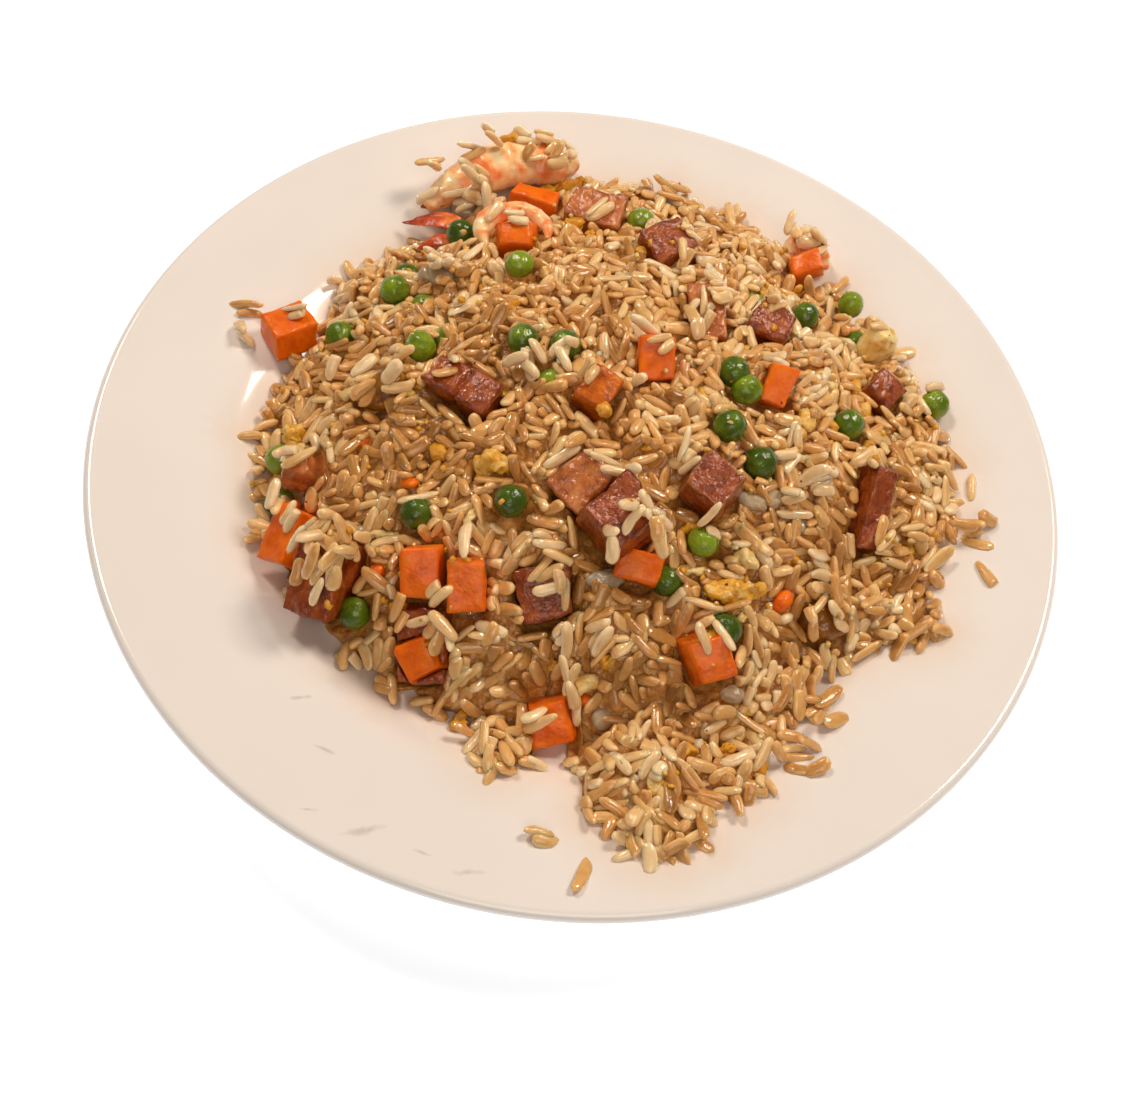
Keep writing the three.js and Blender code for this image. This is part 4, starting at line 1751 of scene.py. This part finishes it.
@dataclass
class Studio:
    """Pale floor, soft lights, and the camera. Places here are in metres."""

    camera_place: Vec3 = (0.0, -0.24882, 0.36336)
    camera_aim: Vec3 = (-0.00085, -0.02687, 0.010)
    camera_roll: float = 9.128  # degrees
    lens: float = 46.377  # mm, on a sensor 36 mm wide
    floor_half: float = 2.5
    floor_below: float = 0.0002  # under the foot ring, so that the two faces never meet
    ambient: float = 0.14
    sky: str = "#FFF8EE"
    lights: tuple[SoftLight, ...] = (
        SoftLight("lamp_back_right", (0.44, 0.4, 0.8), 0.28, 5.1, "#FFF1E0"),
        SoftLight("lamp_back_left", (-0.4, 0.45, 0.8), 0.2, 3.9, "#FFF1E0"),
        SoftLight("lamp_front", (0.1, -0.62, 0.79), 0.6, 2.8, "#FFF1E0"),
    )

    def build(self) -> None:
        """Makes the studio."""
        scene = bpy.context.scene
        scene.view_settings.view_transform = "Standard"
        lens = bpy.data.cameras.new("camera")
        lens.lens = self.lens
        lens.sensor_width = 36.0
        lens.sensor_fit = "HORIZONTAL"
        camera = bpy.data.objects.new("camera", lens)
        sight = Vector(self.camera_aim) - Vector(self.camera_place)
        level = sight.to_track_quat("-Z", "Y").to_matrix()
        roll = Matrix.Rotation(math.radians(self.camera_roll), 3, "Z")
        camera.matrix_world = Matrix.Translation(self.camera_place) @ (level @ roll).to_4x4()
        scene.collection.objects.link(camera)
        scene.camera = camera
        world = bpy.data.worlds.new("studio")
        world.use_nodes = True
        world.node_tree.nodes["Background"].inputs["Color"].default_value = linear(self.sky)
        world.node_tree.nodes["Background"].inputs["Strength"].default_value = self.ambient
        scene.world = world
        for light in self.lights:
            light.build()
        half = self.floor_half
        mesh = bpy.data.meshes.new("floor")
        corners = [(-half, -half), (half, -half), (half, half), (-half, half)]
        mesh.from_pydata([(x, y, -self.floor_below) for x, y in corners], [], [(0, 1, 2, 3)])
        mesh.materials.append(PaintedFloor("floor_paint", "").material())
        floor = bpy.data.objects.new("floor", mesh)
        scene.collection.objects.link(floor)


# ------------------------------------------------------------------ the plate of food

# Carrot, diced and stir-fried: a wet saturated orange, darker where a face took the heat of the pan.
CARROT = MoistFood(
    "carrot_diced", "carrot", dark="#D55701", mid="#ED6D03", light="#F48009", patch=5.0, edge="#E56805",
    roughness=0.35, ior=1.33, coat=0.2, coat_roughness=0.08, sink=0.4, depth=1.6, glow=(1.0, 0.5, 0.08),
    bump=0.2, bump_size=1.2,
)
CARROT_BROWNED = replace(
    CARROT, name="carrot_browned", dark="#944002", mid="#C66006", light="#DE780C", patch=4.0,
    edge="#7D3002", sink=0.3, depth=1.4, bump=0.25,
)
# Ham, cubed and fried: grainy red-brown meat whose faces and edges have browned.
HAM = MoistFood(
    "ham_browned", "ham", dark="#6C2402", mid="#96410F", light="#AE591E", patch=3.6, edge="#561E02",
    roughness=0.32, coat=0.5, coat_roughness=0.1, sink=0.2, depth=1.0, glow=(1.0, 0.5, 0.3), bump=0.5,
    bump_size=1.3, glint=0.06,
)
HAM_CRUSTED = replace(HAM, name="ham_crusted", dark="#702404", light="#AE5822", edge="#D5A159", bump=0.6)
HAM_PINK = replace(
    HAM, name="ham_pink", dark="#964B1C", mid="#BB6A30", light="#D08342", patch=4.0, edge="#873C10",
    roughness=0.3, coat_roughness=0.08, sink=0.25, depth=1.2, glow=(1.0, 0.6, 0.4), bump=0.45,
    bump_size=1.4,
)
# Pineapple, fried: wet yellow flesh that light sinks deep into, and clear amber where it took the heat.
FRUIT = MoistFood(
    "fruit_flesh", "fruit", dark="#E0AC54", mid="#F4CE80", light="#FCE4A8", patch=3.0, roughness=0.2,
    coat=0.4, coat_roughness=0.06, sink=0.5, depth=3.0, glow=(1.0, 0.8, 0.4), bump=0.3, bump_size=1.2,
)
FRUIT_AMBER = replace(
    FRUIT, name="fruit_amber", dark="#834805", mid="#AA6A12", light="#C88C28", patch=4.0, roughness=0.18,
    coat=0.5, coat_roughness=0.05, glow=(1.0, 0.8, 0.3), bump_size=1.6, clearness=0.3,
)
# Egg, scrambled in the pan: soft curds, yolk yellow into cream.
EGG = MoistFood(
    "egg_curd", "egg", dark="#D38E07", mid="#E3A933", light="#E9CA88", patch=2.4, tone_reach=0.35,
    roughness=0.4, coat=0.5, coat_roughness=0.1, sink=0.35, depth=1.5, glow=(1.0, 0.85, 0.4), bump=0.4,
    bump_size=0.9,
)
# Onion, cooked until it is clear and grey-white.
ONION = MoistFood(
    "onion_cooked", "cooked_rice", dark="#C8A87C", mid="#DCC6A2", light="#EADCC2", patch=3.0,
    roughness=0.15, ior=1.35, clearness=0.45, sink=0.6, depth=2.0, glow=(1.0, 0.95, 0.85), coat=0.6,
    coat_roughness=0.04, bump=0.3, bump_size=1.5,
)
# Scraps of rice and egg that fried brown on the pan.
CRUST = MoistFood(
    "crust_scraps", "cooked_rice", dark="#5E2E0A", mid="#8E5418", light="#B87A34", patch=2.0,
    tone_reach=0.3, roughness=0.35, coat=0.3, sink=0.1, bump=0.2, bump_size=0.6,
)

# Small lumps of egg, onion and carrot: x, y, size, bearing, lift and tone of each.
EGG_LUMPS = tuple(
    Lump(*row)
    for row in (
        (-38, -22, (5, 4, 3.5), 30, 0.55, -0.5), (11, -74, (8, 5, 4.5), 20, 0.6, 0.5),
        (16, -70, (4, 3.5, 3), 0, 0.6, -0.2), (-20, -86, (5, 4, 3), 60, 0.6, -0.6),
        (-20, 104, (7, 5, 4), 20, 0.8, -0.9), (-25, 101, (5.5, 4, 3.5), 80, 0.8, -0.8),
        (-15, 107, (5, 4, 3), 120, 0.7, -0.6), (-27, 113, (5, 3, 2.5), 150, 0.7, -0.4),
        (-38, 112, (9, 3, 2.5), 5, 0.8, -0.7), (-26, 30, (4, 3, 2.5), 120, 0.5, -0.7),
        (-67, -42, (3, 2.5, 2), 10, 0.6, -0.7), (-26, -41, (7, 2.2, 2), 70, 0.7, 0.9),
        (-49, -44, (8, 2, 1.8), 10, 0.6, 0.8), (59, 72, (4, 3, 3), 40, 0.5, -0.6),
        (82, 11, (6, 3, 3), 75, 0.5, -0.6), (40, -88, (4, 3, 2.5), 30, 0.6, -0.5),
        (50, -86, (4, 3, 3), 0, 0.6, -0.5), (70, 27, (5, 3.5, 3), 110, 0.5, 0.4),
        (-46, -61, (3, 2.4, 2), 0, 0.6, -0.4), (33, -45, (9, 2.4, 2.2), 10, 0.7, 0.7),
        (-13, 76, (5, 3.5, 3), 150, 0.6, -0.6), (-8, 74, (4, 3, 2.5), 60, 0.6, -0.7),
        (8, 61, (4, 3, 2.5), 0, 0.6, -0.3), (19, 59, (4, 4, 3), 40, 0.6, 0.4),
        (-79, -16, (6, 5, 3.5), 40, 0.6, 0.7), (48, -40, (6, 5, 4), 20, 0.6, 0.8),
    )
)
ONION_LUMPS = tuple(
    Lump(*row)
    for row in (
        (-50, 89, (10, 8, 6), 30, 0.9), (-50, 46, (9, 7, 4), 10, 0.5), (48, -22, (9, 5, 3.5), -20, 0.5),
        (54, -20, (6, 5, 3), 40, 0.5), (12, -51, (10, 6, 4), 15, 0.5), (17, -80, (8, 6, 4), 80, 0.5),
        (50, -71, (7, 5, 3.5), 20, 0.5), (-53, 47, (8, 5, 4), 30, 0.5),
        (-56, -43, (4, 2.6, 2.2), 60, 0.6), (62, -24, (7, 5, 3.5), 30, 0.5),
    )
)
CARROT_LUMPS = tuple(
    Lump(*row)
    for row in (
        (-49, -54, (6, 4, 4), 80, 0.4, -0.8), (-78, -33, (6, 4, 4), 40, 0.5),
        (-60, -18, (4, 3, 3), 20, 0.5), (-44, -32, (5, 3, 3), 10, 0.5), (60, -45, (7, 5, 5), 60, 0.5),
        (12, -77, (4, 3, 3), 0, 0.4),
    )
)

# Clumps of white grains that stuck together and took no sauce: x, y, bearing and count of each.
WHITE_CLUMPS = (
    (-18, 5, 110, 5), (-9, 9, 80, 4), (67, -13, 30, 5), (60, -20, 10, 3), (12, -50, 100, 2),
    (-48, 46, 120, 5), (-52, 50, 60, 4), (-50, 89, 20, 5), (20, -40, 30, 3), (58, -8, 60, 2),
    (4, -66, 60, 3), (-40, 30, 40, 2), (70, -32, 20, 3), (31, 52, 120, 3), (-6, 82, 40, 2),
    (13, -66, 50, 3), (-75, 12, 90, 3),
)
# Grains and clumps that lie on toppings: x, y, bearing, shade and count of each.
ON_TOPPINGS = (
    (30, 38, 60, 0.8, 5), (33, 44, 20, 0.6, 3), (27, 32, 100, 0.7, 3), (-60, -50, 70, 0.5, 6),
    (-64, -58, 110, 0.4, 6), (-58, -60, 80, 0.6, 4), (-66, -50, 40, 0.7, 5), (-62, -64, 60, 0.6, 4),
    (-56, -54, 20, 0.5, 4), (-3, -54, 30, 0.6, 4), (2, -58, 100, 0.5, 2), (-35, -68, 10, 0.7, 1),
    (-29, -72, 80, 0.4, 2), (11, -26, 0, 0.85, 1), (39, -65, -50, 0.95, 1), (44, -63, -50, 0.9, 1),
    (-74, -43, 50, 0.9, 2), (-41, -37, 20, 0.9, 1), (103, 42, 30, 0.9, 1), (38, -36, 20, 0.95, 2),
    (22, 60, 60, 0.6, 2), (-33, 112, 10, 0.9, 2), (-26, 113, 20, 0.8, 2), (-50, 102, 40, 0.8, 2),
    (-61, 95, 60, 0.7, 2), (-48, 92, 20, 1.0, 4), (-43, 90, 60, 0.95, 3), (-19, 112, 120, 0.8, 2),
    (-62, 88, 10, 0.9, 1), (-38, 70, 60, 0.85, 1), (61, 94, 30, 0.8, 3), (56, 92, 100, 0.7, 2),
    (66, 90, 60, 0.7, 2), (-40, -2, 40, 0.6, 1), (-80, -22, 60, 0.8, 2), (84, 55, 30, 0.6, 2),
    (50, 46, 30, 0.6, 2), (-26, -50, 95, 0.95, 1), (-30, -63, 30, 0.6, 2), (-39, -67, 70, 0.4, 2),
    (-26, -72, 110, 0.7, 2), (7, -76, 70, 0.7, 2), (10, -81, 100, 0.8, 2), (1, -87, 20, 0.6, 2),
    (39, -60, 20, 0.5, 1), (50, -64, 80, 0.7, 1), (24, -43, 10, 0.8, 2), (16, -44, 50, 0.7, 2),
    (24, -48, 120, 0.5, 2), (-9, -50, 60, 0.5, 2), (-4, -48, 20, 0.8, 2), (29, -17, 60, 0.9, 3),
    (7, -23, 10, 0.8, 2), (14, -28, 150, 0.9, 1), (-77, -24, 30, 0.8, 2), (-80, -37, 80, 0.7, 2),
    (-54, 9, 20, 0.6, 2), (-39, 3, 120, 0.7, 1), (0, 0, 70, 0.6, 2), (12, 20, 10, 0.8, 1),
    (19, 14, 60, 0.6, 2), (52, 21, 30, 0.7, 2), (81, -1, 90, 0.6, 2), (88, -20, 60, 0.5, 2),
    (-10, 93, 20, 0.8, 2), (12, 77, 80, 0.7, 2), (-29, 66, 10, 0.9, 2), (23, 68, 50, 0.7, 2),
    (-90, 30, 10, 0.8, 2), (-62, 0, 40, 0.7, 2), (-56, 3, 100, 0.5, 2), (-53, -4, 20, 0.8, 2),
    (-61, -6, 70, 0.4, 2), (71, -42, 60, 0.6, 2), (78, -45, 10, 0.8, 2), (70, -48, 110, 0.5, 2),
    (77, -40, 140, 0.4, 2), (-23, 109, 60, 0.6, 3), (-30, 105, 10, 0.5, 2), (-21, 104, 30, 0.5, 2),
    (-44, 106, 20, 0.7, 2),
)
# Grains and clumps that lie on the plate, away from the heap: x, y, bearing, shade and count of each.
ON_PLATE = (
    (-106, 33, 20, 0.3, 2), (-105, 23, -10, 0.9, 2), (116, 11, 90, 0.5, 1), (117, -5, 20, 0.4, 5),
    (120, -20, -60, 0.6, 1), (105, -31, 50, 0.4, 3), (74, -68, 40, 0.4, 6), (69, -84, 10, 0.5, 7),
    (7, -119, 5, 0.6, 2), (17, -127, 75, 0.5, 1), (-11, -93, 80, 0.6, 3), (15, 106, 30, 0.4, 4),
    (35, 104, 100, 0.5, 4), (98, -14, 10, 0.5, 2), (88, -38, 20, 0.4, 2), (30, -112, 70, 0.6, 2),
)


def scattered_lumps(
    ground: Ground, count: int, least: float, most: float, seed: int
) -> tuple[Lump, ...]:
    """Lumps at random places of the heap, of random sizes and tones, half sunk into it.

    Args:
        ground: the heap's heights.
        count: how many lumps.
        least: smallest extent across.
        most: largest extent across.
        seed: picks the random draws.

    Returns:
        The lumps.
    """
    random = np.random.default_rng(SEED + seed)
    rows, cols = np.nonzero(ground.goal > NOWHERE)
    lumps = []
    for pick in random.choice(len(rows), count, replace=False):
        x, y = ground.places(rows[pick], cols[pick])
        across = least + (most - least) * random.random() ** 2
        size = (across, across * random.uniform(0.5, 0.9), across * random.uniform(0.4, 0.6))
        lift = random.uniform(-0.2, 0.5)
        lumps.append(Lump(float(x), float(y), size, random.uniform(0, 180), lift, random.uniform(-1, 0.6)))
    return tuple(lumps)


def main() -> None:
    """Builds the studio, the toppings, the heap and the plate, and reports each."""
    logging.basicConfig(level=logging.INFO, format="%(message)s")
    Studio().build()
    log.info("studio: floor, lamps and camera")
    plate = Plate()
    solid = cad_shape("rice")
    ground = Ground.measure(plate, BVHTree.FromPolygons(solid.points.tolist(), solid.faces))
    log.info("heap measured")

    peas = Peas(ground)
    toppings = (
        CutPieces("carrot", {0: CARROT, 5: CARROT_BROWNED}, passes=4, relief=((6.0, 0.5), (2.0, 0.12))),
        CutPieces(
            "ham",
            {0: HAM, 1: HAM_PINK, 3: HAM_PINK, 8: HAM_PINK, 12: HAM_PINK, 14: HAM_CRUSTED},
            grid=0.5,
            passes=7,
            relief=((5.0, 0.9), (2.0, 0.35), (1.0, 0.12)),
            crust=0.6,
            cleft=("ham_07",),
        ),
        Shrimps(),
        CutPieces("fruit", {0: FRUIT_AMBER, 1: FRUIT}, grid=0.7, relief=((6.0, 1.5), (2.5, 0.6))),
        CutPieces("egg", {0: EGG}, grid=0.5, relief=((3.0, 1.3), (1.5, 0.8), (0.8, 0.3))),
        peas,
        Lumps("egg_bits", EGG, ground, EGG_LUMPS, uneven=0.5),
    )
    for topping in toppings:
        ground.raise_over(topping.build(), keep=True)
    scraps = scattered_lumps(ground, 90, 2.5, 7.0, 3)
    hidden = [
        *peas.build_sunken(),
        *Lumps("onion_bits", ONION, ground, ONION_LUMPS, uneven=0.2).build(),
        *Lumps("carrot_bits", CARROT, ground, CARROT_LUMPS, uneven=0.15).build(),
        *Lumps("egg_scraps", EGG, ground, scraps, uneven=0.5, detail=2).build(),
    ]
    ground.raise_over(hidden, keep=False)

    heap = Heap(ground)
    heap.fill()
    core = Core(plate, ground)
    core_shape = core.shape()
    for x, y, yaw, count in WHITE_CLUMPS:
        heap.drop(x, y, yaw, shade=0.95, count=count, spread=1.9)
    for x, y, yaw, shade, count in ON_TOPPINGS + ON_PLATE:
        heap.drop(x, y, yaw, shade, count)
    make_object("rice_core", core_shape, core.finish, ["rice"])
    log.info("rice core: %d faces", len(core_shape.faces))
    heap.build()
    Crumbs(ground, 240, "crumbs_egg", EGG, sizes=(0.8, 2.4), seed=1).build()
    Crumbs(ground, 80, "crumbs_crust", CRUST, sizes=(0.5, 1.2), seed=2).build()
    plate.build(OilAndReflection(ground))
    log.info("plate done")


if __name__ == "__main__":
    main()
